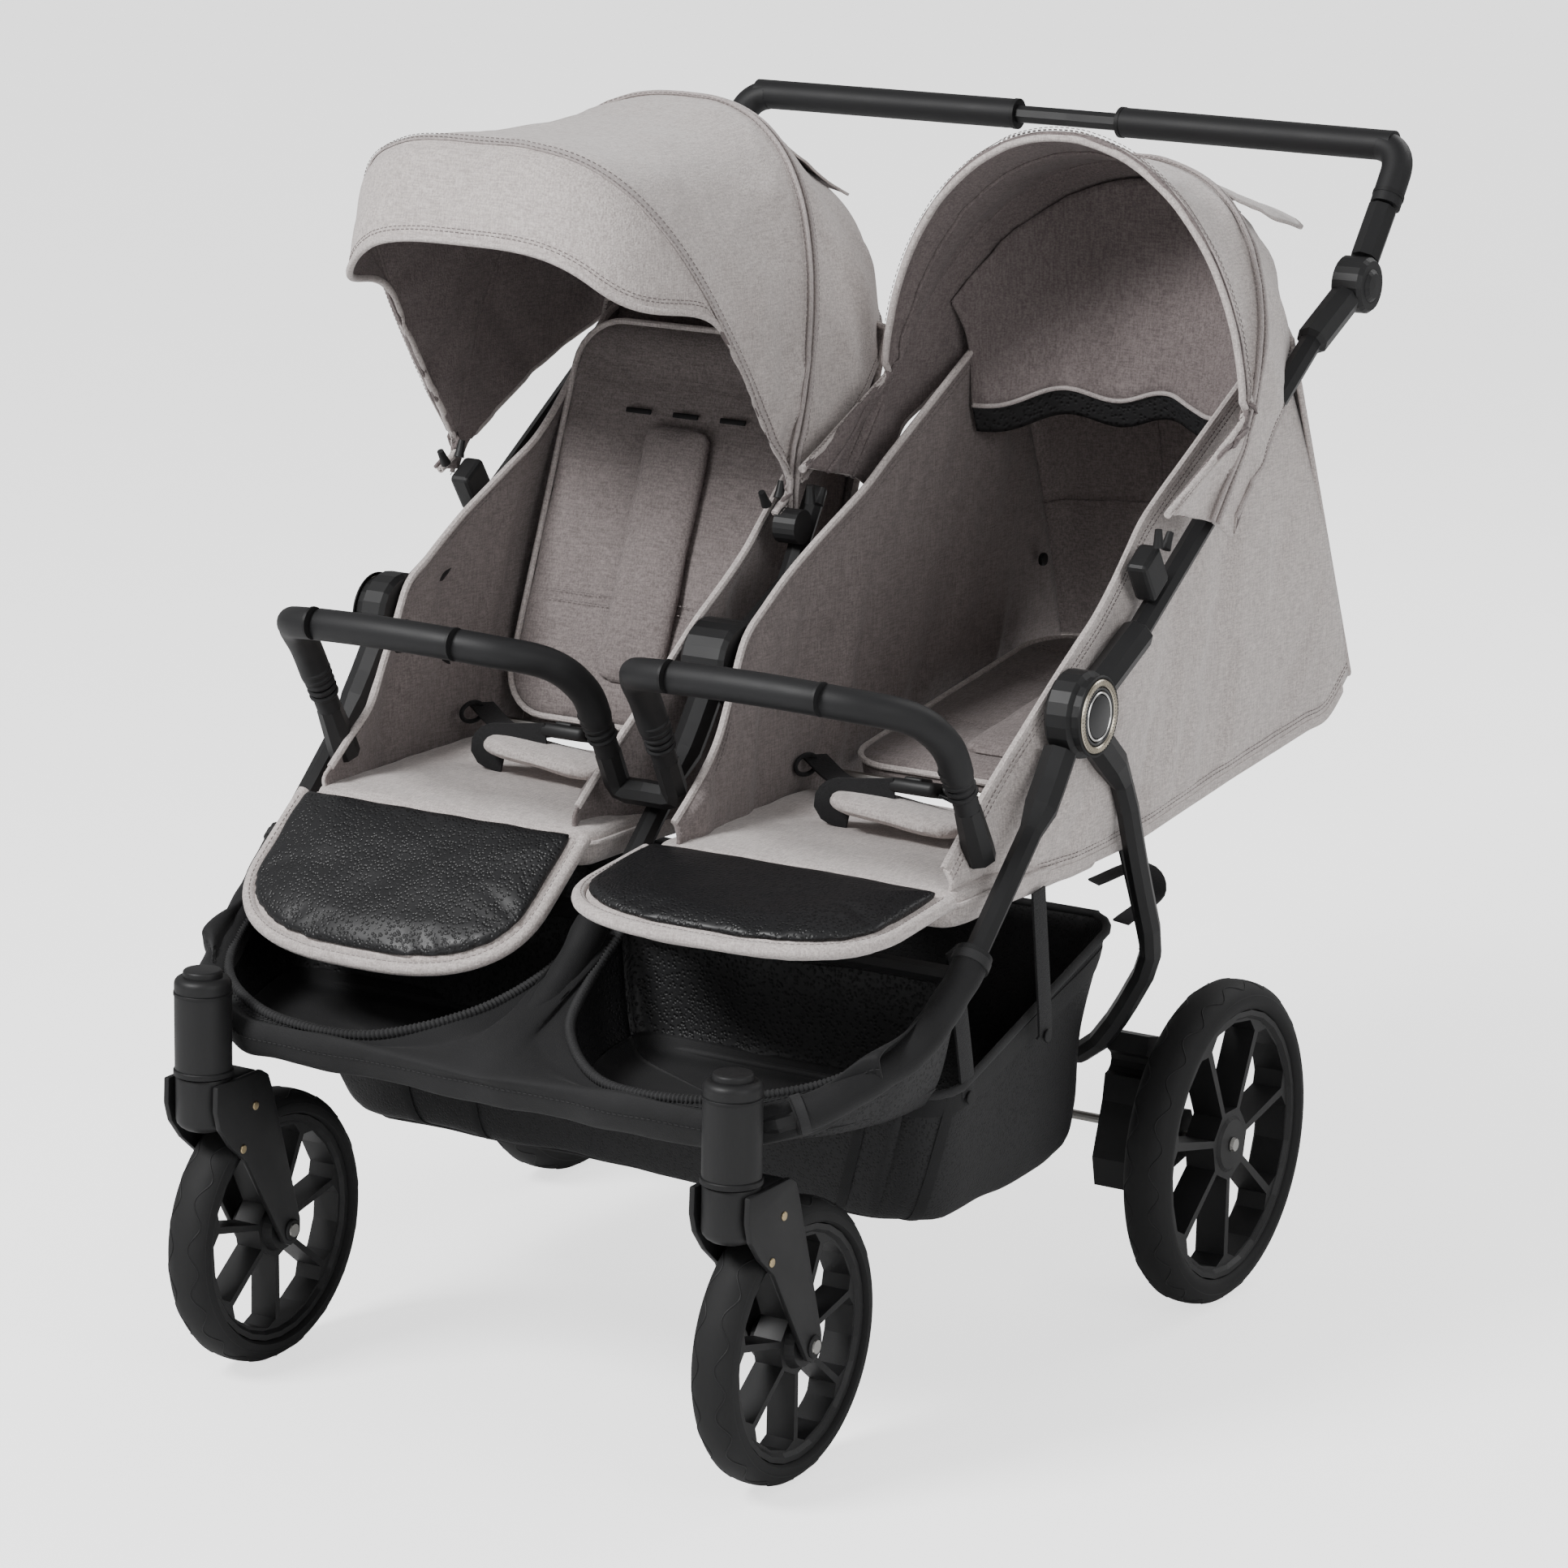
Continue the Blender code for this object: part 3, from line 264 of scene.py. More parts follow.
# ---- mesh helpers ----
def shown(name, data):
    """A new object in the scene."""
    obj = bpy.data.objects.new(name, data)
    bpy.context.scene.collection.objects.link(obj)
    return obj


def placed(obj, mat, body=None, stands_for=()):
    """Gives a piece its material and its body, and hides the CAD nodes that it stands for."""
    obj.data.materials.append(mat)
    if body:
        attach(obj, body)
    if stands_for:
        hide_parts(*stands_for)
    return obj


def piece(name, vertices, faces, mat, body=None, stands_for=(), angle=40):
    """A new mesh piece, smooth up to this angle between faces."""
    mesh = bpy.data.meshes.new(name)
    mesh.from_pydata([tuple(v) for v in vertices], [], faces)
    mesh.validate()
    mesh.shade_smooth()
    mesh.set_sharp_from_angle(angle=math.radians(angle))
    return placed(shown(name, mesh), mat, body, stands_for)


def merged(name, parts, mat, body=None, stands_for=()):
    """One piece from several (vertices, faces) parts."""
    vertices, faces = [], []
    for part_vertices, part_faces in parts:
        start = len(vertices)
        vertices += list(part_vertices)
        faces += [tuple(i + start for i in face) for face in part_faces]
    return piece(name, vertices, faces, mat, body, stands_for)


def cleaned(obj):
    """Welds a piece's coincident points and turns its faces outwards."""
    shape = bmesh.new()
    shape.from_mesh(obj.data)
    bmesh.ops.remove_doubles(shape, verts=shape.verts, dist=1e-6)
    bmesh.ops.recalc_face_normals(shape, faces=shape.faces)
    shape.to_mesh(obj.data)
    shape.free()
    return obj


def solid_piece(name, parts, mat, body=None, stands_for=()):
    """One piece from several closed parts, their faces turned outwards."""
    return cleaned(merged(name, parts, mat, body, stands_for))


def turns(count):
    """Evenly spaced angles of a full turn."""
    return [2 * math.pi * i / count for i in range(count)]


def circle(count):
    """Sine and cosine of evenly spaced angles of a full turn."""
    return [(math.sin(a), math.cos(a)) for a in turns(count)]


def quads(rows, columns, round_rows=False, round_columns=True):
    """Faces between the points of a grid, which may close on itself."""
    faces = []
    for i in range(rows if round_rows else rows - 1):
        for k in range(columns if round_columns else columns - 1):
            j, m = (i + 1) % rows, (k + 1) % columns
            faces.append((i * columns + k, i * columns + m, j * columns + m, j * columns + k))
    return faces


def capped(rows, columns):
    """Faces of a bar of this many rings, with its two end faces."""
    ends = [tuple(range(columns))[::-1], tuple((rows - 1) * columns + k for k in range(columns))]
    return quads(rows, columns) + ends


def between(a, b, c, d, t):
    """The smooth curve from b to c at t, with a and d as its neighbours."""
    return 0.5 * (2 * b + (c - a) * t + (2 * a - 5 * b + 4 * c - d) * t**2 + (3 * b - a - 3 * c + d) * t**3)


def extended(rows):
    return np.concatenate([[2 * rows[0] - rows[1]], rows, [2 * rows[-1] - rows[-2]]])


def lengths(path):
    """Distance along a path at each of its points."""
    return np.concatenate([[0], np.cumsum(np.linalg.norm(np.diff(path, axis=0), axis=1))])


def spread(points, count):
    """Evenly spaced points of a smooth curve through these points."""
    p = np.array([tuple(q) for q in points], float)
    if len(p) == 2:
        return p[0] + (p[1] - p[0]) * np.linspace(0, 1, count)[:, None]
    far = extended(p)
    t = np.linspace(0, 1, 13)[:-1, None]
    dense = np.vstack([between(*four, t) for four in zip(far, far[1:], far[2:], far[3:])] + [p[-1:]])
    reach = lengths(dense)
    steps = np.linspace(0, reach[-1], count)
    return np.stack([np.interp(steps, reach, dense[:, k]) for k in range(3)], 1)


def arc(start, corner, end, shares):
    """Points of a soft bend from start to end that heads for the corner."""
    return [start * (1 - t) ** 2 + corner * 2 * t * (1 - t) + end * t**2 for t in shares]


def rounded(points, radius, steps):
    """A polyline with its inner corners rounded."""
    points = [Vector(p) for p in points]
    path = [points[0]]
    for before, corner, after in zip(points, points[1:], points[2:]):
        reach = min(radius, 0.48 * (before - corner).length, 0.48 * (after - corner).length)
        ends = [corner + (p - corner).normalized() * reach for p in (before, after)]
        path += arc(ends[0], corner, ends[1], [i / steps for i in range(steps + 1)])
    return path + [points[-1]]


def tube_part(path, radius, sides=16, closed=False):
    """Vertices and faces of a round bar. radius is one number or a function of the share along it."""
    p = np.array([tuple(q) for q in path], float)
    count = len(p)
    tangent = np.roll(p, -1, 0) - np.roll(p, 1, 0) if closed else np.gradient(p, axis=0)
    tangent /= np.linalg.norm(tangent, axis=1)[:, None]
    side = np.cross(tangent[0], (0.0, 0.0, 1.0) if abs(tangent[0][2]) < 0.9 else (0.0, 1.0, 0.0))
    angles = np.linspace(0, 2 * np.pi, sides, endpoint=False)[:, None]
    rings = []
    for i in range(count):
        side = side - tangent[i] * (side @ tangent[i])
        side /= np.linalg.norm(side)
        r = radius(i / (count - 1)) if callable(radius) else radius
        rings.append(p[i] + r * (np.cos(angles) * side + np.sin(angles) * np.cross(tangent[i], side)))
    return np.vstack(rings), quads(count, sides, True) if closed else capped(count, sides)


def tube(name, path, radius, mat, body=None, stands_for=(), sides=16, closed=False):
    return piece(name, *tube_part(path, radius, sides, closed), mat, body, stands_for)


def turned_part(profile, place, axis="x", sign=1, steps=48):
    """A turned solid: profile points are (radius, height) along the axis, from one end to the other."""
    vertices = []
    for s, c in circle(steps):
        for r, h in profile:
            vertices.append(Vector((h * sign, r * c, r * s) if axis == "x" else (r * c, r * s, h)) + Vector(place))
    return vertices, quads(steps, len(profile), True, False)


def turned(name, profile, place, mat, body, axis="x", sign=1, steps=48, stands_for=()):
    return cleaned(piece(name, *turned_part(profile, place, axis, sign, steps), mat, body, stands_for, 35))


def quarter(steps):
    """Sine and cosine of evenly spaced angles up to a right angle."""
    return [(math.sin(math.pi / 2 * i / steps), math.cos(math.pi / 2 * i / steps)) for i in range(steps + 1)]


def dome(radius, low, high, bevel=0.003):
    """Profile of a closed cylinder with rounded ends, between two heights."""
    top = [(radius - bevel + bevel * s, high - bevel + bevel * c) for s, c in quarter(4)]
    base = [(r, low + high - h) for r, h in reversed(top)]
    return [(0.0, high)] + top + base + [(0.0, low)]


def ring_profile(inner, outer, low, high, bevel=0.001):
    """Profile of a flat ring with eased edges."""
    return [(inner, low), (inner, high - bevel), (inner + bevel, high), (outer - bevel, high),
            (outer, high - bevel), (outer, low), (inner, low)]


def rounded_shape(shape, bevel, segments, move=None):
    """Vertices and faces of a solid with its edges rounded, and then moved."""
    bmesh.ops.bevel(shape, geom=shape.edges[:], offset=bevel, segments=segments, affect="EDGES", profile=0.5)
    if move:
        bmesh.ops.transform(shape, matrix=move, verts=shape.verts)
    vertices = [v.co.copy() for v in shape.verts]
    faces = [tuple(v.index for v in f.verts) for f in shape.faces]
    shape.free()
    return vertices, faces


def extruded(outline, depth):
    """A flat outline made into a closed solid."""
    shape = bmesh.new()
    base = shape.faces.new([shape.verts.new(p) for p in outline])
    made = bmesh.ops.extrude_face_region(shape, geom=[base])
    top = [g for g in made["geom"] if isinstance(g, bmesh.types.BMVert)]
    bmesh.ops.translate(shape, vec=depth, verts=top)
    bmesh.ops.recalc_face_normals(shape, faces=shape.faces)
    return shape


def block_part(low, high, turn=None, bevel=0.001):
    """Vertices and faces of a small rounded block between two corners, turned by a matrix."""
    shape = bmesh.new()
    bmesh.ops.create_cube(shape, size=1.0)
    low, high = Vector(low), Vector(high)
    bmesh.ops.scale(shape, vec=high - low, verts=shape.verts)
    move = Matrix.Translation((low + high) / 2)
    return rounded_shape(shape, bevel, 3, turn @ move if turn else move)


# ---- cloth helpers ----
def loft(rows, count):
    """More rows between these (rows, points, 3), evenly by row number."""
    far = extended(np.asarray(rows, float))
    made = []
    for place in np.linspace(0, len(rows) - 1, count):
        k = min(int(place), len(rows) - 2)
        made.append(between(*far[k:k + 4], place - k))
    return np.array(made)


def unit(vectors):
    return vectors / np.maximum(np.linalg.norm(vectors, axis=-1, keepdims=True), 1e-9)


def ease(x):
    x = np.clip(x, 0.0, 1.0)
    return x * x * (3 - 2 * x)


def inner_share(x, start, end):
    """Rises from 0 at x = 0 over start and falls back to 0 over end before x = 1."""
    return ease(x / start) * ease((1 - x) / end)


class Sheet:
    """A cloth surface through rows of points: u runs over the rows, v along them. inside is a point behind it."""

    def __init__(self, rows, along, across, inside):
        self.points = loft([spread(row, across) for row in rows], along)
        self.inside = np.array(inside, float)
        self.flip = 1.0
        self.refresh()
        if np.mean(np.sum(self.normals * (self.points - self.inside), axis=2)) < 0:
            self.flip = -1.0
            self.refresh()
        shape = self.points.shape
        self.u, self.v = np.meshgrid(*(np.linspace(0, 1, n) for n in shape[:2]), indexing="ij")

    def refresh(self):
        du, dv = np.gradient(self.points, axis=0), np.gradient(self.points, axis=1)
        self.normals = unit(np.cross(du, dv)) * self.flip
        self.forward = unit(du)
        self.sideways = unit(dv)

    def raise_by(self, heights):
        self.points = self.points + self.normals * heights[..., None]
        self.refresh()

    def crumple(self, run, pitch, depth, seed=0.0, fade=1.0, low=-2.0, high=2.0):
        """Soft folds that run along a direction, this far apart, no deeper or higher than low and high."""
        run = Vector(run).normalized()
        a = run.orthogonal().normalized()
        b = run.cross(a)
        heights = np.empty(self.points.shape[:2])
        for i, row in enumerate(self.points):
            for k, p in enumerate(row):
                p = Vector(p)
                q = Vector((p.dot(run) / (pitch * 4) + seed, p.dot(a) / pitch, p.dot(b) / pitch))
                heights[i, k] = noise.noise(q) + 0.45 * noise.noise(q * 2.1 + Vector((7.0, 3.0, seed)))
        self.raise_by(depth * (np.clip(heights, low, high) * fade))

    def line(self, u=None, v=None, shift=0.0, lift=0.0, start=0.0, end=1.0):
        """A line on the cloth at one u or one v, moved sideways and off it."""
        where, field = (u, 0) if u is not None else (v, 1)
        place = where * (self.points.shape[field] - 1)
        k = min(int(place), self.points.shape[field] - 2)
        t = place - k
        lines = []
        for values in (self.points, self.forward if field == 0 else self.sideways, self.normals):
            pair = (values[k], values[k + 1]) if field == 0 else (values[:, k], values[:, k + 1])
            lines.append(pair[0] * (1 - t) + pair[1] * t)
        path = lines[0] + unit(lines[1]) * shift + unit(lines[2]) * lift
        low, high = int(start * (len(path) - 1)), int(end * (len(path) - 1)) + 1
        return path[low:high]

    def faces(self):
        made = [(a, d, c, b) for a, b, c, d in quads(*self.points.shape[:2], False, False)]
        return made if self.flip > 0 else [quad[::-1] for quad in made]


def cloth(name, sheet, mat, body=None, lining=None, thickness=0.0018, stands_for=()):
    """The sheet as a piece with thickness. Its inner side can have a lining, which here is always a darker copy of the
    cloth: painted shade.
    """
    obj = piece(name, sheet.points.reshape(-1, 3), sheet.faces(), mat, body, stands_for, 60)
    solid = obj.modifiers.new("thickness", "SOLIDIFY")
    solid.thickness = thickness
    solid.offset = -1.0
    if lining:
        obj.data.materials.append(lining)
        solid.material_offset = 1
    return obj


def ribbon_part(a, b, n, thickness=0.0012):
    """A thin domed strip between two edges, with n as its upward directions."""
    section = [a - n * thickness, a + n * thickness * 0.3, (a + b) / 2 + n * thickness * 0.75,
               b + n * thickness * 0.3, b - n * thickness]
    return np.stack(section, 1).reshape(-1, 3), capped(len(a), len(section))


def band_part(sheet, width, lift=0.0008, **place):
    """A strip lying on a sheet along one of its lines."""
    edges = [sheet.line(shift=s * width / 2, lift=lift, **place) for s in (-1, 1)]
    over = sheet.line(lift=lift + 0.01, **place) - sheet.line(lift=lift, **place)
    return ribbon_part(*edges, unit(over))


def strap_part(points, up, width):
    """A webbing strap along a path, its face towards up."""
    path = spread(points, 24)
    tangent = unit(np.gradient(path, axis=0))
    across = unit(np.cross(tangent, np.array(up, float)))
    half = across * width / 2
    return ribbon_part(path - half, path + half, unit(np.cross(across, tangent)), 0.0016)


def stitching(name, paths, mat, body=None, length=0.0032, gap=0.0022):
    """Sewing thread along paths: short dashes."""
    parts = []
    for path in paths:
        path = np.asarray(path, float)
        reach = lengths(path)
        at = gap
        while at + length < reach[-1]:
            ends = [[np.interp(s, reach, path[:, k]) for k in range(3)] for s in (at, at + length)]
            parts.append(tube_part(ends, 0.00045, 4))
            at += length + gap
    return merged(name, parts, mat, body)


# ---- padded pieces ----
def pad_outline(half, low, high, corner, steps=7):
    """(x, y) outline of a rounded rectangle, counterclockwise."""
    centres = ((half - corner, high - corner, 0), (corner - half, high - corner, 90),
               (corner - half, low + corner, 180), (half - corner, low + corner, 270))
    points = []
    for x, y, start in centres:
        for i in range(steps + 1):
            a = math.radians(start + 90 * i / steps)
            points.append((x + corner * math.cos(a), y + corner * math.sin(a)))
    return points


def cushion(name, outline, low, high, place, mat, body, stands_for=(), seams=None, puff=0.010, soft=0.007):
    """A padded pad of a flat outline, from low to high in its own frame.

    It is puffed up as cloth under pressure while its underside and its seams are held.
    """
    shape = extruded([(x, y, low) for x, y in outline], (0, 0, high - low))
    rims = [e for e in shape.edges if abs(e.verts[0].co.z - e.verts[1].co.z) < 1e-6]
    soft = min(soft, (high - low) * 0.45)
    bmesh.ops.bevel(shape, geom=rims, offset=soft, segments=3, affect="EDGES", profile=0.5)
    obj = shown(name, bpy.data.meshes.new(name))
    shape.to_mesh(obj.data)
    shape.free()
    even = obj.modifiers.new("even", "REMESH")
    even.mode = "VOXEL"
    even.voxel_size = 0.005
    obj.data = baked(obj)
    start = np.array([v.co for v in obj.data.vertices])
    held_below = low + (high - low) * 0.35
    held = [i for i, p in enumerate(start) if p[2] < held_below or (seams is not None and seams(p))]
    move = puffed(obj, held) - start
    size = np.linalg.norm(move, axis=1, keepdims=True)
    move *= np.minimum(1.0, puff / np.maximum(size, 1e-9))
    obj.data.vertices.foreach_set("co", (start + move).ravel())
    obj.modifiers.new("fine", "SUBSURF").levels = 1
    obj.data = baked(obj)
    obj.data.transform(place)
    places = [v.co + v.normal * 0.0012 * noise.noise(v.co * 28.0) for v in obj.data.vertices]
    obj.data.vertices.foreach_set("co", np.array(places).ravel())
    obj.data.shade_smooth()
    return placed(obj, mat, body, stands_for)


def baked(obj):
    """The piece's mesh with its modifiers applied. The modifiers are removed."""
    bpy.context.view_layer.update()
    mesh = bpy.data.meshes.new_from_object(obj.evaluated_get(bpy.context.evaluated_depsgraph_get()))
    obj.modifiers.clear()
    return mesh


def puffed(obj, held):
    """Vertex places after a short cloth run under pressure, without gravity."""
    frames = 20
    obj.vertex_groups.new(name="held").add(held, 1.0, "REPLACE")
    run = obj.modifiers.new("cloth", "CLOTH")
    values = {
        "quality": 5, "mass": 0.3, "tension_stiffness": 12, "compression_stiffness": 12, "shear_stiffness": 8,
        "bending_stiffness": 0.6, "use_pressure": True, "uniform_pressure_force": 4.0, "vertex_group_mass": "held",
    }
    for key, value in values.items():
        setattr(run.settings, key, value)
    run.settings.effector_weights.gravity = 0.0
    run.collision_settings.use_collision = False
    run.point_cache.frame_start = 1
    run.point_cache.frame_end = frames
    for number in range(1, frames + 1):
        bpy.context.scene.frame_set(number)
    mesh = bpy.data.meshes.new_from_object(obj.evaluated_get(bpy.context.evaluated_depsgraph_get()))
    places = np.array([v.co for v in mesh.vertices])
    obj.modifiers.clear()
    obj.vertex_groups.clear()
    bpy.context.scene.frame_set(1)
    return places


def tilted(x, pivot, angle):
    """Frame at a joint's place, its Y axis turned up from +Y by this angle."""
    return Matrix.Translation((x, pivot.y, pivot.z)) @ Matrix.Rotation(math.radians(angle), 4, "X")


# ---- canopies ----
CANOPY_MID, CANOPY_HALF = 0.195, 0.1835
COLUMNS = 121  # points across a canopy
# each hoop: middle (y, z), radius, tilt in degrees, squareness, foot (y, z)
CANOPIES = {
    "left": {
        "front": ((0.034, 0.747), 0.387, 54.7, 3.5, (0.008, 0.726)),
        "rear": ((0.037, 0.770), 0.321, 108.0, 2.5, (0.034, 0.724)),
        "tail": ((0.070, 0.775), 0.300, 136.0, 2.6, (0.050, 0.744)),
        "hem": ((0.085, 0.765), 0.262, 152.0, 2.6, (0.058, 0.752)),
    },
    "right": {
        "front": ((0.164, 0.832), 0.236, 87.6, 2.0, (0.022, 0.768)),
        "rear": ((0.150, 0.800), 0.275, 122.0, 2.2, (0.105, 0.748)),
        "tail": ((0.178, 0.776), 0.312, 136.5, 1.9, (0.145, 0.728)),
        "hem": ((0.180, 0.772), 0.290, 148.0, 1.9, (0.150, 0.745)),
    },
}
# rows of a canopy's cloth, from its rim to its hem, and the shares at which its two bows lie
LAST = 8
FRONT_BOW, REAR_BOW, HEM = 2 / LAST, 5 / LAST, 1.0


def hoop(side, centre_yz, radius, tilt, shape, foot):
    """A rounded hoop of the canopy from its outer foot to its inner one."""
    t = math.radians(tilt)
    points = []
    for i in range(65):
        a = math.pi * i / 64
        across = math.copysign(abs(math.cos(a)) ** (2 / shape), math.cos(a))
        reach = radius * abs(math.sin(a)) ** (2 / shape)
        points.append((side * (CANOPY_MID + CANOPY_HALF * across), centre_yz[0] - reach * math.cos(t),
                       centre_yz[1] + reach * math.sin(t)))
    return spread([(points[0][0], *foot)] + points + [(points[-1][0], *foot)], COLUMNS)


def canopy_sheet(side_name, side, front, rear, tail, hem):
    """Cloth over the two bows: visor in front, folded panel between them, panel with a window behind."""
    height = (front[:, 2] - front[0, 2]) / np.ptp(front[:, 2])
    if side_name == "left":
        drop = ease((height - 0.50) / 0.42)[:, None]
        rows = [front + drop * np.array([0, -0.036, -0.082]), front + drop * np.array([0, -0.026, -0.040]), front]
    else:
        rows = [front + np.array([0, -0.005, -0.001]), front + np.array([0, -0.002, 0.002]), front]
    sag = np.sin(np.linspace(0, np.pi, COLUMNS))[:, None] * 0.005
    heart = np.array([side * CANOPY_MID, 0.06, 0.80])
    for share in (0.67, 0.33):
        row = front * share + rear * (1 - share)
        rows.append(row - unit(row - heart) * sag)
    rows += [rear, rear * 0.5 + tail * 0.5, tail, hem]
    sheet = Sheet(rows, 113, COLUMNS, heart)
    on_side = np.clip(1 - sheet.points[..., 2] / 1.03, 0, 1) * 4
    panel = ease((sheet.u - FRONT_BOW) / 0.05) * ease((REAR_BOW - sheet.u) / 0.05)
    back = ease((sheet.u - REAR_BOW) / 0.05)
    deepest = -0.15  # folds go up from the bows, so that the cloth stays off them
    folded = panel * np.clip(0.25 + on_side, 0, 1.2)
    sheet.crumple((side * 0.2, -0.75, -0.65), 0.038, 0.0120, 3.0 + side, folded, deepest)
    sheet.crumple((0.0, 0.6, -0.8), 0.045, 0.0045, 9.0, back + 0.35 * (1 - panel), deepest)
    sheet.raise_by(0.0022 * sum(np.exp(-((sheet.u - bow) / 0.010) ** 2) for bow in (FRONT_BOW, REAR_BOW)))
    return sheet


def canopy(side_name, side):
    name = f"canopy_{side_name}"
    front, rear, tail, hem = (hoop(side, *CANOPIES[side_name][n]) for n in ("front", "rear", "tail", "hem"))
    sheet = canopy_sheet(side_name, side, front, rear, tail, hem)
    pieces = [
        # the underside wears the darker lining copy of the cloth: painted shade
        cloth(f"{name}_cloth", sheet, GREY, None, LINING_PAINTED_SHADE, 0.0022, (name,)),
        tube(f"{name}_rim", sheet.line(u=0.0, lift=-0.001), 0.0034, GREY, sides=10),
        tube(f"{name}_hem", sheet.line(u=HEM, lift=-0.001), 0.0026, EDGING, sides=8),
        solid_piece(f"{name}_seam_band", [
            band_part(sheet, 0.0085 if side_name == "left" else 0.005, u=FRONT_BOW, start=0.03, end=0.97),
        ], EDGING),
        solid_piece(f"{name}_rear_piping", [
            tube_part(sheet.line(u=REAR_BOW, shift=s, lift=0.0012), 0.0024, 8) for s in (-0.0050, 0.0050)
        ], EDGING),
    ]
    threads = ((0.0, 0.0075, 0.0004), (0.0, 0.0105, 0.0004), (FRONT_BOW, -0.0035, 0.0022), (FRONT_BOW, 0.0035, 0.0022),
               (REAR_BOW, 0.0, 0.0026), (REAR_BOW, -0.0105, 0.0006), (REAR_BOW, 0.0105, 0.0006), (HEM, -0.006, 0.0004))
    pieces.append(stitching(f"{name}_stitches", [sheet.line(u=u, shift=s, lift=up) for u, s, up in threads], THREAD))
    # seams of the lining, seen from below, in the darker lining copy of the cloth: painted shade
    seams = [FRONT_BOW, REAR_BOW] + ([3.1 / LAST] if side_name == "right" else [])
    seams = [tube_part(sheet.line(u=u, lift=-0.0032), 0.0020, 8) for u in seams]
    pieces.append(solid_piece(f"{name}_lining_seams", seams, LINING_PAINTED_SHADE))
    middle = COLUMNS // 2
    pieces.append(window_flap(name, rear[middle], tail[middle]))
    pieces.append(window_mesh(name, sheet))
    if side_name == "right":
        pieces += inner_band(name, side, sheet)
    for obj in pieces:
        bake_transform(obj)
    canopy_feet(side_name)


def inner_band(name, side, sheet):
    """Gathered cloth and a strip of mesh that hang inside the pushed-back canopy, behind its rear bow."""
    upper = sheet.line(u=5.7 / LAST, lift=-0.006, start=0.22, end=0.78)
    s = np.linspace(-1, 1, len(upper)) * (-1 if upper[0][0] > upper[-1][0] else 1)
    lower = np.stack([side * CANOPY_MID + 0.146 * s, 0.318 - 0.060 * s**2,
                      0.812 + 0.006 * np.sin(s * 9) - 0.012 * s**2], 1)
    belly = (upper + lower) / 2 + np.array([0, 0.010, 0.012])
    behind = (side * CANOPY_MID, 0.6, 0.85)
    band = Sheet([upper, belly, lower], 25, 91, behind)
    band.crumple((0.1, 0, 1), 0.03, 0.003, 4.0)
    edge = band.line(u=1.0)
    vent = Sheet([edge, edge + np.array([0, 0.010, -0.026])], 7, 91, behind)
    return [
        # the gathered band wears the darker lining copy of the cloth: painted shade
        cloth(f"{name}_inner_band", band, LINING_PAINTED_SHADE, thickness=0.002),
        cloth(f"{name}_vent", vent, VENT_MESH, thickness=0.0012),
        tube(f"{name}_inner_band_edge", edge, 0.0022, EDGING, sides=8),
    ]


def window_flap(name, top_rear, top_tail):
    """Rounded tongue that covers the window behind the rear bow. It stands a little off the canopy."""
    start = Vector(top_rear) + Vector((0, -0.004, 0.003))
    run = (Vector(top_tail) - Vector(top_rear)).normalized()
    rows = []
    for i in range(15):
        t = i / 14
        half = 0.100 * max(0.02, 1 - max(0.0, (t - 0.62) / 0.38) ** 2.4) ** (1 / 2.4)
        mid = start + run * 0.215 * t + Vector((0, 0.2, 1)) * 0.020 * t**1.6
        rows.append([mid + Vector((half * s, 0, -2.8 * (half * s) ** 2 + 0.001)) for s in np.linspace(-1, 1, 9)])
    sheet = Sheet(rows, 36, 33, start - Vector((0, 0.05, 0.2)))
    sheet.crumple((1, 0.2, 0), 0.05, 0.002, 5.0)
    return cloth(f"{name}_window_flap", sheet, GREY, None, LINING_PAINTED_SHADE, 0.0024)


def window_mesh(name, sheet):
    """Mesh window under the flap, set into the rear panel."""
    rows, columns = sheet.points.shape[:2]
    low_u, high_u = int(5.4 / LAST * (rows - 1)), int(6.7 / LAST * (rows - 1))
    low_v, high_v = int(0.41 * columns), int(0.59 * columns)
    lifted = sheet.points + sheet.normals * 0.0014
    window = Sheet(lifted[low_u:high_u:3, low_v:high_v:3], 14, 24, sheet.inside)
    return cloth(f"{name}_window", window, VENT_MESH, thickness=0.0012)


def canopy_feet(side_name):
    """Moulded ends of the bows at the canopy clips. They turn with the bows."""
    for bow in ("front", "rear"):
        body = f"canopy_{bow}_bow_{side_name}"
        low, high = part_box(body)
        tilt = math.radians(CANOPIES[side_name][bow][2])
        up = Vector((0, -math.cos(tilt), math.sin(tilt)))
        parts = []
        for x in (low.x + 0.002, high.x - 0.002):
            base = Vector((x, CANOPY_AXIS.y, CANOPY_AXIS.z)) + up * 0.0235
            parts.append(tube_part([base, base + up * 0.006, base + up * 0.016], lambda t: 0.0050 - 0.0018 * t, 12))
        solid_piece(f"bow_ends_{bow}_{side_name}", parts, PLASTIC, body, (body,))


for side_name, side in SIDES:
    canopy(side_name, side)


# ---- seats ----
# angle of the backrest, then (y, z) of the walls' lower and upper edges, and the y at which those end
SEATS = {
    "left": {
        "angle": 69.0,
        "bottom": ((-0.25, 0.470), (-0.10, 0.464), (0.02, 0.464), (0.04, 0.462), (0.090, 0.470)),
        "top": ((-0.25, 0.500), (-0.19, 0.545), (-0.10, 0.640), (0, 0.700), (0.1, 0.760), (0.200, 0.850),
                (0.240, 0.870)),
        "rear": (0.085, 0.230),
    },
    "right": {
        "angle": 8.0,
        "bottom": ((-0.25, 0.470), (-0.108, 0.463), (0.056, 0.468), (0.227, 0.488), (0.447, 0.510), (0.490, 0.545)),
        "top": ((-0.25, 0.500), (-0.19, 0.545), (-0.10, 0.640), (0, 0.700), (0.1, 0.760), (0.280, 0.855),
                (0.330, 0.878)),
        "rear": (0.484, 0.330),
    },
}
WALL_START = -0.250  # y of the walls' front ends
INNER_X, OUTER_X = 0.0265, 0.3405


def level(profile, y):
    return float(np.interp(y, *zip(*profile)))


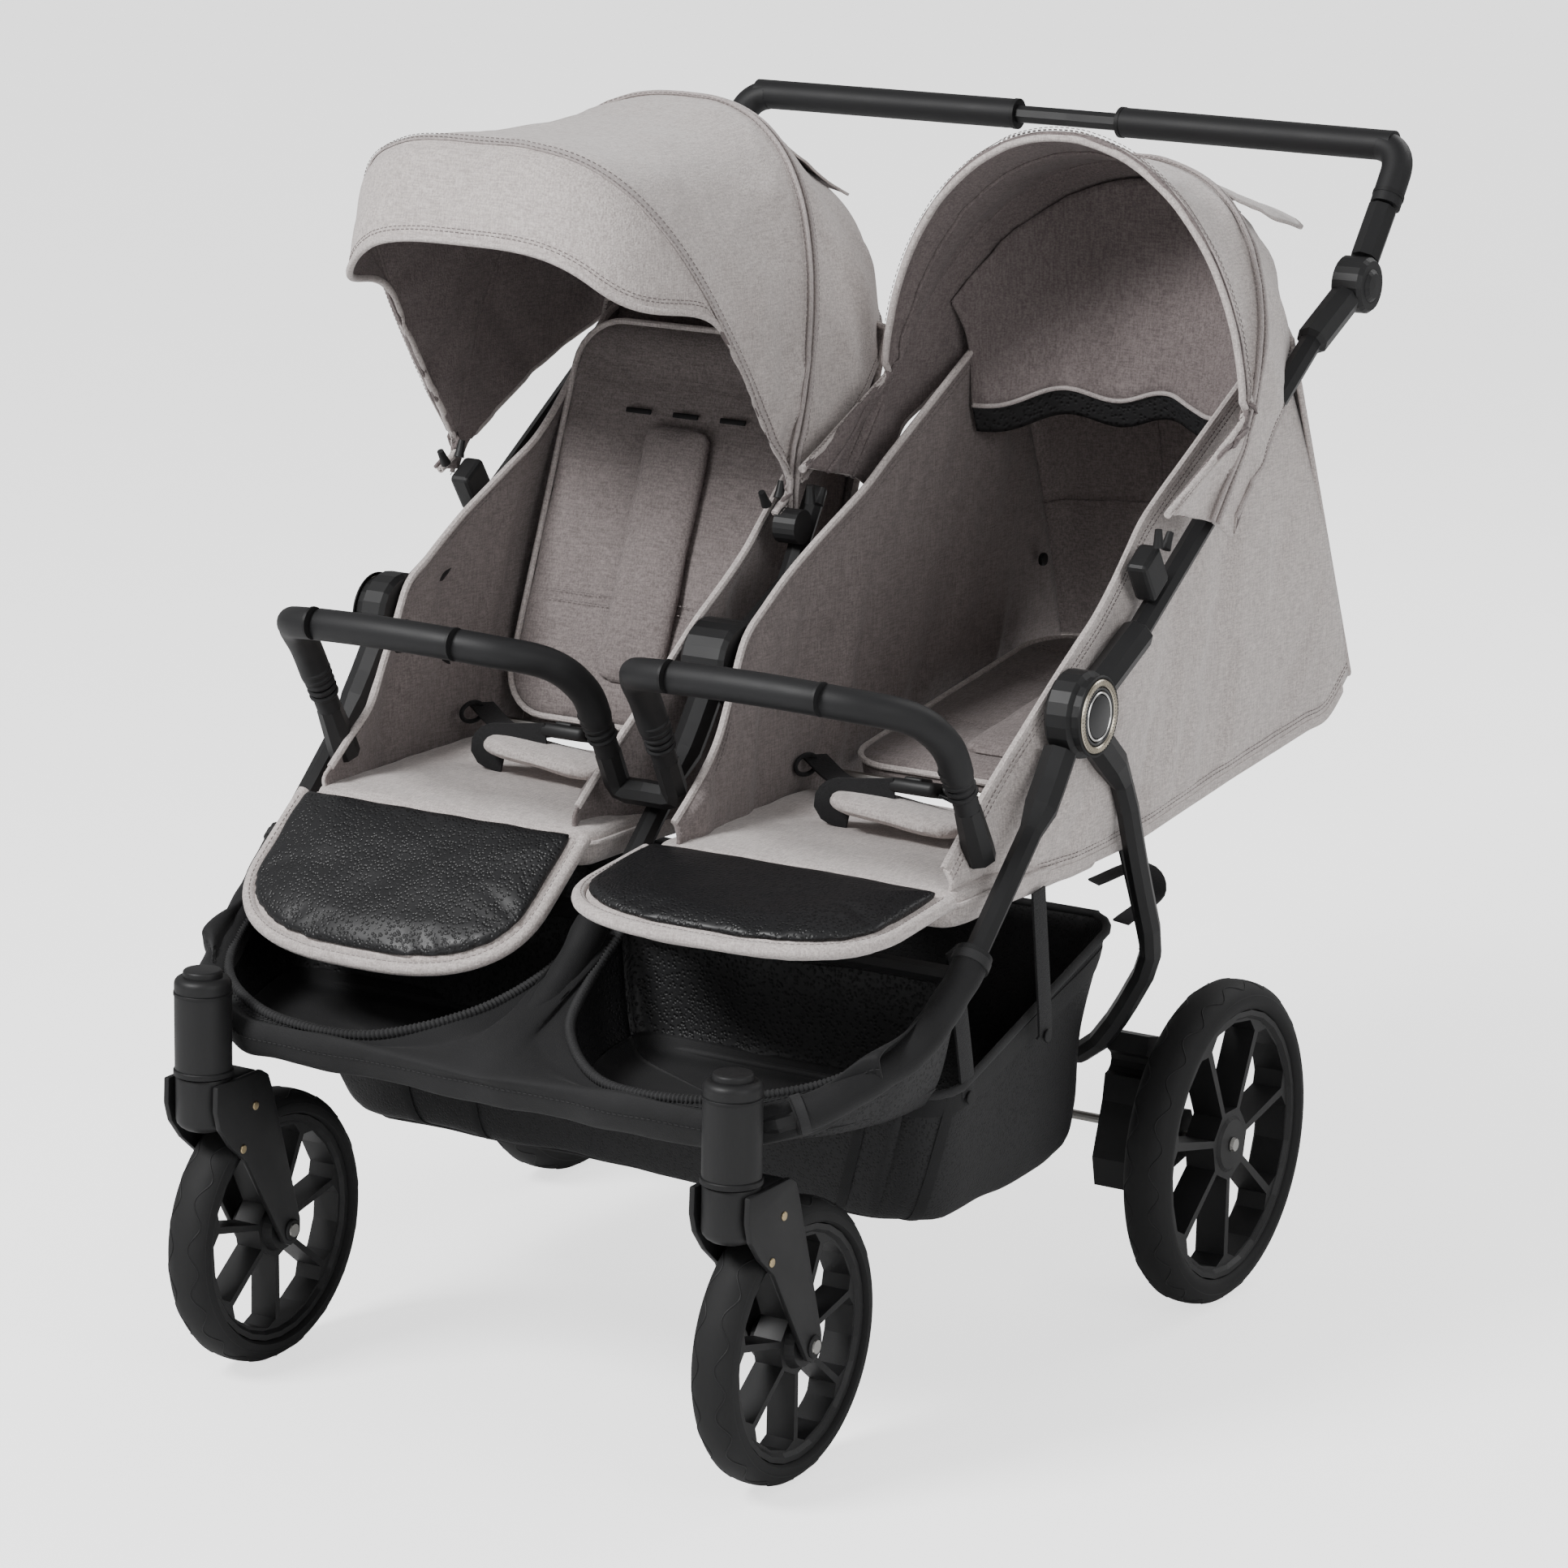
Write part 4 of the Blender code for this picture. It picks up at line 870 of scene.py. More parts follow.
def blend_back(pieces):
    """Bakes each piece's placement into its mesh."""
    for obj in pieces:
        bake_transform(obj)


def seat_wall(side_name, side, where, x, inward):
    """One side wall of a seat: front hem low, rising to the canopy, down to the backrest behind."""
    spec = SEATS[side_name]
    low_rear, top_rear = spec["rear"]
    rows = []
    for i in range(17):
        t = i / 16
        y_low = WALL_START + (low_rear - WALL_START) * t
        y_top = WALL_START + (top_rear - WALL_START) * t
        pinch = 0.022 * min(1.0, max(0.0, (-0.10 - y_top) / 0.09))
        low, top = level(spec["bottom"], y_low), level(spec["top"], y_top)
        row = []
        for share in (0, 0.25, 0.5, 0.75, 1):
            out = (-0.008 if where == "outer" else 0.004) * math.sin(math.pi * share)
            high = 0.015 * min(1.0, max(0.0, (y_top + 0.02) / 0.10)) * share
            at = x + inward * (pinch + out + high)
            row.append((side * at, y_low + (y_top - y_low) * share, low + (top - low) * share))
        rows.append(row)
    sheet = Sheet(rows, 93, 49, (side * 0.2, 0, 0.6))
    fade = inner_share(sheet.v, 0.12, 0.22) * ease(sheet.u / 0.06) * ease((1 - sheet.u) / 0.04)
    sheet.crumple((0, 0.32, 0.95), 0.050, 0.0105, side * 2 + x * 10, fade, high=0.12)
    sheet.crumple((0, -0.8, 0.5), 0.030, 0.0025, side * 5 + x * 7, fade, high=0.1)
    name = f"seat_{side_name}_{where}"
    threads = [sheet.line(v=1.0, shift=-s, lift=lift) for s in (0.0075, 0.0125) for lift in (0.0003, -0.0037)]
    threads += [sheet.line(v=0.0, shift=s, lift=0.0003) for s in (0.010, 0.014)]
    blend_back([
        # the inner wall, and the inner face of each wall, wear the darker seat copy of the cloth: painted shade
        cloth(f"{name}_wall", sheet, SEAT_CLOTH_PAINTED_SHADE if where == "inner" else GREY, None, SEAT_CLOTH_PAINTED_SHADE, 0.0034),
        tube(f"{name}_hem", sheet.line(v=1.0, lift=-0.0017), 0.0034, GREY, sides=8),
        stitching(f"{name}_stitches", threads, THREAD),
        solid_piece(f"{name}_lower_band", [band_part(sheet, 0.010, v=0.0, lift=0.0004, start=0.02, end=0.98)], GREY),
    ])


def seat_back_panel(side_name, side):
    """Cloth behind the backrest, from wall to wall."""
    spec = SEATS[side_name]
    low_rear, top_rear = spec["rear"]
    low, top = level(spec["bottom"], low_rear), level(spec["top"], top_rear)
    rows = []
    for share in np.linspace(0, 1, 9):
        y = low_rear + (top_rear - low_rear) * share
        z = low + (top - low) * share
        puff = 0.012 * math.sin(math.pi * share)
        rise = (0.06 if side_name == "right" else 0.012) * share**2
        row = []
        for s in np.linspace(-1, 1, 13):
            x = (INNER_X + OUTER_X) / 2 + (OUTER_X - INNER_X) / 2 * s
            arch = rise * (1 - s * s)
            row.append((side * x, y + (puff + 0.012) * (1 - s**6) + arch, z + arch))
        rows.append(row)
    sheet = Sheet(rows, 61, 61, (side * SEAT_X, -0.1, 0.65))
    fade = inner_share(sheet.v, 0.08, 0.08) * ease(sheet.u / 0.1) * ease((1 - sheet.u) / 0.08)
    sheet.crumple((0.2, 0, 1), 0.055, 0.006, side * 4.0, fade)
    name = f"seat_{side_name}_rear"
    piping = [tube_part(sheet.line(v=s, lift=-0.0005), 0.0030, 8) for s in (0.004, 0.996)]
    piping.append(tube_part(sheet.line(u=0.0, lift=-0.001), 0.0032, 8))
    bands = ({"u": 0.40, "lift": -0.0036}, {"u": 0.42, "lift": 0.0006}, {"v": 0.40, "lift": -0.0036})
    faces = (0.0004, -0.0034)  # lifts that put a thread on the outer and on the inner face
    threads = [sheet.line(v=s, lift=lift) for s in (0.035, 0.965) for lift in faces]
    threads += [sheet.line(**at, shift=s, lift=-0.0050) for at in ({"u": 0.40}, {"v": 0.40}) for s in (-0.003, 0.003)]
    threads += [sheet.line(u=1.0, shift=-s, lift=lift) for s in (0.007, 0.011) for lift in faces]
    blend_back([
        # the panel's inner face and its seam bands wear the darker seat copy of the cloth: painted shade
        cloth(f"{name}_panel", sheet, GREY, None, SEAT_CLOTH_PAINTED_SHADE, 0.003, (f"seat_sides_{side_name}",)),
        tube(f"{name}_hem", sheet.line(u=1.0, lift=-0.0015), 0.0034, GREY, sides=8),
        solid_piece(f"{name}_piping", piping, GREY),
        solid_piece(f"{name}_seams", [band_part(sheet, 0.009, **band) for band in bands], SEAT_CLOTH_PAINTED_SHADE),
        stitching(f"{name}_stitches", threads, THREAD),
    ])


def seat_pad(side_name, side):
    """Padded seat board inside its piping."""
    mid = side * SEAT_X
    outline = pad_outline(0.150, -0.262, 0.012, 0.020)
    cushion(f"seat_{side_name}_pad", outline, 0.449, 0.482, Matrix.Translation((mid, 0, 0)), GREY, ROOT,
            (f"seat_{side_name}",), lambda p: abs(abs(p[0]) - 0.146) < 0.004 or abs(p[1] + 0.085) < 0.0028, 0.009)
    edge = [(mid + x * 1.012, y * 1.004, 0.4705) for x, y in outline]
    tube(f"seat_{side_name}_pad_piping", edge, 0.0026, GREY, ROOT, sides=8, closed=True)
    if side_name == "right":
        snap = turned_part(dome(0.0065, -0.002, 0.003, 0.0015), (0.044, 0.414, 0.626), steps=24)
        blend_back([solid_piece("seat_right_snap", [snap], PLASTIC)])


def back_pad(side_name, side):
    """Backrest pad with seams across it, the chest pad of its harness and three strap slots."""
    body, name = f"backrest_{side_name}", f"back_{side_name}"
    lie = tilted(side * SEAT_X, BACK_HINGE, SEATS[side_name]["angle"])
    outline = pad_outline(0.136, 0.010, 0.392, 0.045)
    seams = (0.125, 0.262, 0.335)
    # the backrest pad and chest pad wear the darker seat copy of the cloth: painted shade
    cushion(f"{name}_pad", outline, -0.015, 0.013, lie, SEAT_CLOTH_PAINTED_SHADE, body, (body,),
            lambda p: any(abs(p[1] - s) < 0.0028 for s in seams) or abs(abs(p[0]) - 0.130) < 0.004)
    edge = [lie @ Vector((x * 1.01, y, 0.010)) for x, y in outline]
    tube(f"{name}_piping", edge, 0.0030, GREY, body, sides=8, closed=True)
    threads = [
        [lie @ Vector((x, s + d, 0.0178)) for x in np.linspace(-0.118, 0.118, 30)]
        for s in seams for d in (-0.0045, 0.0045)
    ]
    stitching(f"{name}_stitches", threads, THREAD, body)
    cushion(f"{name}_chest_pad", pad_outline(0.036, -0.125, 0.120, 0.012), 0.000, 0.011,
            lie @ Matrix.Translation((0.0, 0.175, 0.016)), SEAT_CLOTH_PAINTED_SHADE, body, puff=0.005, soft=0.004)
    slots = [
        block_part((x - 0.014, 0.3045, 0.0165), (x + 0.014, 0.3095, 0.0185), lie) for x in (-0.052, 0.0, 0.052)
    ]
    solid_piece(f"{name}_harness_slots", slots, PLASTIC_DARK, body)


def legrest(side_name, side):
    """Padded legrest: black mesh panel inside a wide light edge."""
    body = f"legrest_{side_name}"
    lie = tilted(side * SEAT_X, LEGREST_HINGE, 38.0 if side_name == "left" else 6.0)
    half, straight, end = 0.152, -0.072, -0.094

    def outline(inset, top=0.004):
        points = [(half - inset, top), (half - inset, straight)]
        for i in range(1, 24):
            a = math.pi * i / 24
            points.append(((half - inset) * math.copysign(abs(math.cos(a)) ** 0.75, math.cos(a)),
                           straight + (end + inset) * math.sin(a) ** 0.8))
        return (points + [(inset - half, straight), (inset - half, top)])[::-1]

    cushion(f"{body}_pad", outline(0.003), -0.010, 0.0085, lie, GREY, body, (body,), None, 0.002, 0.008)
    cushion(f"{body}_mesh", outline(0.008, 0.000), 0.005, 0.0145, lie, SPORT_MESH, body, (), None, 0.006, 0.004)
    rim = [lie @ Vector((x, y, 0.002)) for x, y in outline(0.001)]
    tube(f"{body}_piping", spread(rim, 90), 0.0062, GREY, body, sides=12)
    seam = [lie @ Vector((x, y, 0.0078)) for x, y in outline(0.0030, -0.004)]
    stitching(f"{body}_stitches", [spread(seam, 120)], THREAD, body)


def harness(side_name, side):
    """Crotch pad with its buckle, and the straps and loops beside it."""
    name = f"harness_{side_name}"
    mid = side * SEAT_X
    top = SEAT_TOP + 0.008
    pad = Matrix.Translation((mid + 0.020, -0.125, top + 0.008)) @ Matrix.Rotation(math.radians(6), 4, "Y")
    cushion(f"{name}_crotch_pad", pad_outline(0.066, -0.030, 0.030, 0.024), 0.0, 0.013, pad, GREY, ROOT,
            puff=0.006, soft=0.005)
    # each strap: the way that its face looks, and its path from the middle of the seat's top
    straps = (
        ((0, 1, 0.05), ((-0.030, -0.128, 0.004), (-0.052, -0.128, 0.010), (-0.046, -0.126, 0.023),
                        (-0.020, -0.124, 0.027), (0.010, -0.118, 0.030))),
        ((0, 0, 1), ((0.045, -0.105, 0.032), (0.080, -0.075, 0.012), (0.115, -0.030, 0.010), (0.140, -0.004, 0.020))),
        ((0, 0, 1), ((0.000, -0.095, 0.030), (-0.040, -0.060, 0.012), (-0.100, -0.025, 0.008),
                     (-0.140, -0.004, 0.020))),
    )
    parts = [strap_part([(mid + x, y, top + z) for x, y, z in path], up, 0.025) for up, path in straps]
    solid_piece(f"{name}_straps", parts, STRAP, ROOT)
    turn = Matrix.Translation((mid + 0.026, -0.103, top + 0.026)) @ Matrix.Rotation(math.radians(-14), 4, "X")
    blocks = (
        ((-0.024, -0.020, 0), (0.024, 0.018, 0.013), 0.005),
        ((-0.034, -0.004, 0.002), (-0.020, 0.016, 0.011), 0.003),
        ((0.020, -0.004, 0.002), (0.034, 0.016, 0.011), 0.003),
        ((-0.009, -0.016, 0.011), (0.009, 0.006, 0.0155), 0.002),
    )
    solid_piece(f"{name}_buckle", [block_part(low, high, turn, bevel) for low, high, bevel in blocks], PLASTIC, ROOT)
    loops = []
    for x in (-0.139, 0.139):
        base = Vector((mid + x, -0.020, top + 0.012))
        ring = [base + Vector((0.003 * c, 0.014 * c, 0.009 * s + 0.003)) for s, c in circle(24)]
        loops.append(tube_part(ring, 0.0022, 8, closed=True))
    solid_piece(f"{name}_side_loops", loops, STRAP, ROOT)


for side_name, side in SIDES:
    seat_wall(side_name, side, "inner", INNER_X, 1)
    seat_wall(side_name, side, "outer", OUTER_X, -1)
    for make in (seat_back_panel, seat_pad, back_pad, legrest, harness):
        make(side_name, side)


# ---- footwells, sleeves and basket ----
# front edge of the right footwell's opening, from the middle post to the outer leg tube
OPENING = [
    (0.018, -0.282, 0.406), (0.022, -0.337, 0.376), (0.050, -0.410, 0.352), (0.118, -0.466, 0.334),
    (0.200, -0.472, 0.334), (0.262, -0.452, 0.342), (0.312, -0.408, 0.354), (0.338, -0.345, 0.377),
    (0.347, -0.285, 0.413),
]


def mirrored(points, side):
    return [(side * x, y, z) for x, y, z in points]


def footwell(side_name, side):
    """Cloth tray under a legrest: mesh walls, smooth floor and an elastic binding round its opening."""
    name = f"footwell_{side_name}"
    front = mirrored(OPENING, side)
    back = mirrored([(0.330, -0.262, 0.418), (0.182, -0.258, 0.400), (0.034, -0.262, 0.412)], side)
    rim = spread(front + back + front[:1], 97)
    middle = np.array([side * 0.184, -0.365, 0.298])
    rows = []
    for share, drop in ((1.0, 0.0), (0.985, 0.22), (0.955, 0.55), (0.90, 0.86), (0.80, 1.0), (0.5, 1.02), (0.03, 1.03)):
        ring = middle + (rim - middle) * np.array([share, share, 1.0])
        ring[:, 2] = rim[:, 2] + (0.300 - rim[:, 2]) * drop
        rows.append(ring)
    under = middle - np.array([0, 0, 0.4])
    bag = Sheet(rows, 41, 97, under)
    walls = ease(bag.u / 0.1) * ease((0.65 - bag.u) / 0.1)
    bag.crumple((0.2, 0.1, 1), 0.05, 0.004, side * 2.0, walls * inner_share(bag.v, 0.04, 0.04))
    cloth(f"{name}_bag", bag, FOOT_MESH, ROOT, None, 0.0016)
    floor = Sheet([ring + np.array([0, 0, 0.0022]) for ring in rows[3:]], 17, 97, under)
    cloth(f"{name}_floor", floor, BLACK_CLOTH, ROOT, None, 0.0016)
    ribs = 942  # radians of the binding's ripple along its length
    tube(f"{name}_binding", spread(front, 600), lambda t: 0.0042 + 0.0007 * math.sin(t * ribs), BLACK_THREAD, ROOT,
         sides=10)


def apron():
    """Coated cloth from the front crossbar up to both openings and the seat fronts."""
    columns = sorted(mirrored(OPENING, -1) + OPENING)
    columns.insert(len(OPENING), (0.0, -0.278, 0.414))
    opening = spread(columns, 181)
    x = opening[:, 0]
    # its ends fold up round the leg tubes
    bar_y = -0.4845 + 0.030 * ease((np.abs(x) - 0.225) / 0.09) + 0.055 * ease((np.abs(x) - 0.290) / 0.055)
    bar_z = 0.3205 + 0.020 * ease((np.abs(x) - 0.235) / 0.10) + 0.030 * ease((np.abs(x) - 0.300) / 0.045)
    # four rows round the crossbar: under it, below, in front and above
    around = ((0.030, -0.026), (0.010, -0.022), (0, -0.004), (0.004, 0.010))
    rows = [np.stack([x, bar_y + y, bar_z + z], 1) for y, z in around]
    rows += [rows[3] * 0.5 + opening * 0.5 + np.array([0, 0.0, -0.004]), opening + np.array([0, 0, 0.001])]
    sheet = Sheet(rows, 61, 181, (0, -0.35, 0.28))
    sheet.crumple((0.6, 0.5, 0.6), 0.06, 0.0035, 2.0, inner_share(sheet.u, 0.1, 0.1))
    cloth("apron_cloth", sheet, BLACK_CLOTH, ROOT, None, 0.0018, ("apron",))
    threads = [sheet.line(u=u, shift=s, lift=0.0006) for u, s in ((1.0, -0.007), (1.0, -0.010), (0.40, 0.0))]
    stitching("apron_stitches", threads, BLACK_THREAD, ROOT)


def sleeves():
    """Cloth sleeves round the lower leg tubes, with a hem at each end."""
    for side_name, side in SIDES:
        path = spread(mirrored([(0.3565, -0.262, 0.435), (0.356, -0.290, 0.411), (0.347, -0.350, 0.369),
                                (0.318, -0.424, 0.341), (0.296, -0.450, 0.330)], side), 46)

        def radius(t):
            return 0.0150 + 0.0016 * noise.noise((t * 9.0, side * 3.0, 0)) + (0.0012 if t < 0.03 or t > 0.97 else 0)

        tube(f"leg_sleeve_{side_name}", path, radius, BLACK_CLOTH, ROOT, sides=20)
        rings = [tube_part([path[i], path[i] + (path[i + 1] - path[i]) * 1.6], 0.0172, 20) for i in (1, 43)]
        solid_piece(f"leg_sleeve_{side_name}_hems", rings, BLACK_THREAD, ROOT)
    path = spread([(0, -0.300, 0.414), (0, -0.345, 0.374), (0, -0.400, 0.342), (0, -0.452, 0.325)], 30)
    tube("middle_sleeve", path, lambda t: 0.0150 + 0.0014 * noise.noise((t * 8.0, 1.0, 0)), BLACK_CLOTH, ROOT,
         sides=20)


def basket_ring(front, rear, corner, belly):
    """Closed outline of the basket through two corners on its right, mirrored to its left."""
    corners = [Vector(p) for p in (front, rear, *mirrored([rear, front], -1))]
    path = []
    for i in range(4):
        a, b, c = (corners[k % 4] for k in (i - 1, i, i + 1))
        start, end = (b + (p - b).normalized() * corner for p in (a, c))
        path += arc(start, b, end, np.linspace(0, 1, 7))
        mid = (b + c) / 2
        path.append(mid + Vector((math.copysign(belly, mid.x) if abs(mid.x) > 0.1 else 0, 0, 0)))
    return spread(path + path[:1], 161)


def basket():
    """Hanging mesh basket with bound edges, solid corners and straps up to the frame."""
    rings = [
        basket_ring((0.285, -0.240, 0.180), (0.280, 0.030, 0.176), 0.05, 0.0),
        basket_ring((0.312, -0.256, 0.188), (0.298, 0.048, 0.184), 0.05, 0.004),
        basket_ring((0.328, -0.266, 0.222), (0.300, 0.062, 0.218), 0.05, 0.007),
        basket_ring((0.338, -0.272, 0.270), (0.292, 0.080, 0.290), 0.045, 0.006),
        basket_ring((0.341, -0.272, 0.306), (0.296, 0.112, 0.374), 0.04, 0.0),
    ]
    walls = Sheet(rings, 49, 161, (0, -0.09, 0.28))
    fade = inner_share(walls.u, 0.1, 0.1) * inner_share(walls.v, 0.03, 0.03)
    walls.crumple((0.1, 0.3, 1), 0.10, 0.005, 3.0, fade)
    centre_low = np.array([0, -0.10, 0.176])
    floor = Sheet([centre_low + (rings[0] - centre_low) * s for s in (0.02, 0.35, 0.7, 1.0)], 25, 161, (0, -0.09, 0.4))
    bands = [band_part(walls, 0.020, u=0.93, lift=0.0006)]
    for column in (0.02, 0.98, 0.23, 0.27, 0.48, 0.52, 0.73, 0.77):
        bands.append(band_part(walls, 0.010, v=column, lift=0.0006, start=0.04, end=0.99))
    straps, snaps = [], []
    hung = ((-0.235, 0.312, -0.262, 0.436), (-0.10, 0.334, -0.115, 0.455), (0.085, 0.368, 0.040, 0.470))
    for s in (-1, 1):
        for y, z, top_y, top_z in hung:
            path = mirrored([(0.336, y, z - 0.016), (0.338, y, z), (0.336, top_y, top_z)], s)
            straps.append(strap_part(path, (1, 0, 0), 0.022))
        path = [(0.30, 0.108, 0.372), (0.312, 0.150, 0.392), (0.290, 0.165, 0.412), (0.262, 0.125, 0.400)]
        straps.append(strap_part(mirrored(path, s), (0, 0, 1), 0.020))
        for y, z in ((-0.235, 0.300), (-0.10, 0.322), (0.085, 0.355)):
            snaps.append(turned_part(dome(0.006, 0.0, 0.0025, 0.001), (s * 0.3395, y, z), "x", s, 20))
    for obj in (
        cloth("basket_sides", walls, BASKET_MESH, ROOT, None, 0.0016, ("basket",)),
        cloth("basket_floor", floor, BLACK_CLOTH, ROOT, None, 0.0016),
        tube("basket_binding", walls.line(u=1.0), 0.0040, BLACK_THREAD, ROOT, sides=10),
        tube("basket_floor_piping", walls.line(u=0.06), 0.0026, BLACK_THREAD, ROOT, sides=8),
        solid_piece("basket_seam_bands", bands, BLACK_CLOTH, ROOT),
        solid_piece("basket_straps", straps, STRAP, ROOT),
        solid_piece("basket_snaps", snaps, PLASTIC_DARK, ROOT),
    ):
        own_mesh(obj)


apron()
sleeves()
basket()
for side_name, side in SIDES:
    footwell(side_name, side)


# ---- small hard parts ----
def hub_cover(side_name, side):
    """Rings and plain cap on the outside of a folding hub."""
    low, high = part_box(f"hub_{side_name}")
    face = high.x if side > 0 else low.x
    place = (face, FOLD.y, FOLD.z)
    rings = (
        ("collar", ring_profile(0.0325, 0.0355, -0.001, 0.0012), PLASTIC_DARK, 48),
        ("ring", ring_profile(0.0262, 0.0320, -0.001, 0.0022, 0.0012), CHAMPAGNE, 72),
        ("inner_ring", ring_profile(0.0222, 0.0258, -0.001, 0.0014), GLOSS, 48),
        ("thin_ring", ring_profile(0.0196, 0.0216, -0.001, 0.0020, 0.0006), BRIGHT, 48),
        ("cap", dome(0.0190, -0.001, 0.0018, 0.0012), GLOSS, 48),
    )
    for part, profile, mat, steps in rings:
        turned(f"hub_{side_name}_{part}", profile, place, mat, ROOT, "x", side, steps)
    knurls = []
    for s, c in circle(60):
        at = Vector((face + side * 0.0021, FOLD.y + 0.0291 * c, FOLD.z + 0.0291 * s))
        out = Vector((0, c, s)) * 0.0021
        knurls.append(tube_part([at - out, at + out], 0.00055, 6))
    merged(f"hub_{side_name}_knurls", knurls, CHAMPAGNE, ROOT)


def caster_details(side_name, side):
    """Housing with its cap and rings, the lock knob, and the fork: a rounded head and two cheeks."""
    name, fork, lock, housing = (f"caster_{part}{side_name}" for part in ("", "fork_", "lock_", "housing_"))
    low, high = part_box(housing)
    mid = (low + high) / 2
    axis = (mid.x, mid.y, 0)
    cap = [(0.0185 + 0.0064 * s, high.z - 0.0064 + 0.0064 * c) for s, c in quarter(6)]
    foot = [(0.0249, low.z + 0.001), (0.0240, low.z), (0.0, low.z)]
    under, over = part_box(lock)
    knob = dome((over.x - under.x) / 2, under.z, over.z, 0.0025)
    neck = [(0.0, 0.2305)] + [(0.0245 * s, 0.2430 - 0.0125 * c) for s, c in quarter(6)[1:]]
    neck += [(0.0245, 0.2790), (0.0236, 0.2812), (0.0, 0.2812)]
    turned(f"{name}_collar", ring_profile(0.0245, 0.0262, low.z + 0.001, low.z + 0.006), axis, PLASTIC_DARK, ROOT, "z")
    line = ring_profile(0.0245, 0.0256, high.z - 0.016, high.z - 0.013)
    turned(f"{name}_cap_line", line, axis, PLASTIC_DARK, ROOT, "z")
    turned(f"{name}_housing", [(0.0, high.z)] + cap + foot, axis, PLASTIC, ROOT, "z", 1, 64, (housing,))
    turned(f"{name}_lock_cap", knob, axis, PLASTIC, lock, "z", 1, 56, (lock,))
    solid_piece(f"{name}_head", [turned_part(neck, axis, "z", 1, 64)], PLASTIC, fork, (fork,))
    low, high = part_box(fork)
    head_block = block_part((low.x + 0.001, -0.4960, 0.2370), (high.x - 0.001, -0.4520, 0.2800), None, 0.008)
    solid_piece(f"{name}_head_block", [head_block], PLASTIC, fork)
    cheek = [
        (-0.5190, 0.2790), (-0.4560, 0.2800), (-0.4460, 0.2740), (-0.4405, 0.2600), (-0.4010, 0.1300),
        (-0.4012, 0.1180), (-0.4075, 0.1100), (-0.4160, 0.1080), (-0.4240, 0.1120), (-0.4790, 0.2020),
        (-0.5000, 0.2200), (-0.5150, 0.2390), (-0.5200, 0.2560),
    ]
    thickness = 0.0060
    for end, x in (("inner", low.x), ("outer", high.x - thickness)):
        shape = extruded([(x, y, z) for y, z in cheek], (thickness, 0, 0))
        piece(f"{name}_cheek_{end}", *rounded_shape(shape, 0.0018, 2), PLASTIC, fork)
    rivets, caps = [], []
    for s, x in ((-1, low.x), (1, high.x)):
        for y, z in ((-0.4660, 0.2500), (-0.4840, 0.2150)):
            rivets.append(turned_part(dome(0.0040, -0.001, 0.0012, 0.0008), (x, y, z), "x", s, 20))
        axle = (x, -0.4145, 0.1225)
        caps.append(turned_part(ring_profile(0.0045, 0.0100, -0.001, 0.0022), axle, "x", s, 24))
        caps.append(turned_part(dome(0.0038, -0.001, 0.0030, 0.001), axle, "x", s, 20))
    solid_piece(f"{name}_rivets", rivets, BRASS, fork)
    solid_piece(f"{name}_axle_caps", caps, PLASTIC_DARK, fork)


def tyre(which, side_name):
    """Foam tyre with a shallow wave line moulded into each side of its tread."""
    node, body = f"{which}_tyre_{side_name}", f"{which}_wheel_{side_name}"
    low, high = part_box(node)
    mid, radius, half = (low + high) / 2, (high.z - low.z) / 2, (high.x - low.x) / 2
    waves, count = (18, 360) if which == "front" else (22, 440)
    depth, square = half * 0.86, 0.85

    def over(height):
        """Radius of the tread at this height, 0 to 1, over its shoulders."""
        return radius - depth + depth * height**square

    angles = [math.pi * i / 28 for i in range(29)]
    section = [(over(math.sin(a)), half * math.copysign(abs(math.cos(a)) ** square, math.cos(a))) for a in angles]
    inner = radius * 0.835
    section = [(inner, depth)] + section + [(inner, -depth), (inner, depth)]
    turned(f"{node}_rubber", section, tuple(mid), RUBBER, body, "x", 1, 144, (node,))
    lines = []
    for s in (-1, 1):
        path = []
        for a in turns(count):
            reach = 0.57 + 0.20 * math.sin(a * waves)
            r = over(math.sin(math.acos(reach ** (1 / square))))
            path.append((mid.x + s * half * reach, mid.y + r * math.cos(a), mid.z + r * math.sin(a)))
        lines.append(tube_part(path, 0.0006, 6, closed=True))
    r = radius - half * 0.52
    for x in (mid.x - half * 0.92, mid.x + half * 0.92):
        lines.append(tube_part([(x, mid.y + r * c, mid.z + r * s) for s, c in circle(144)], 0.0008, 6, closed=True))
    solid_piece(f"{which}_tyre_lines_{side_name}", lines, PLASTIC_DARK, body)


def handle():
    """Foam grips round the corners of the handle bar, each with a ring at both ends."""
    rings = []
    for side_name, side in SIDES:
        corner = [(0.056, 0.5240, 1.0375), (0.3585, 0.5150, 1.0375), (0.3585, 0.4780, 0.9860)]
        path = spread(rounded(mirrored(corner, side), 0.062, 12), 90)
        tube(f"handle_foam_{side_name}", path, 0.0145, FOAM, HANDLE, (f"grip_{side_name}",), 24)
        rings += [tube_part([path[i], path[i] + (path[i + 1] - path[i]) * 0.9], 0.0151, 24) for i in (0, 86)]
    solid_piece("handle_foam_ends", rings, PLASTIC_DARK, HANDLE)


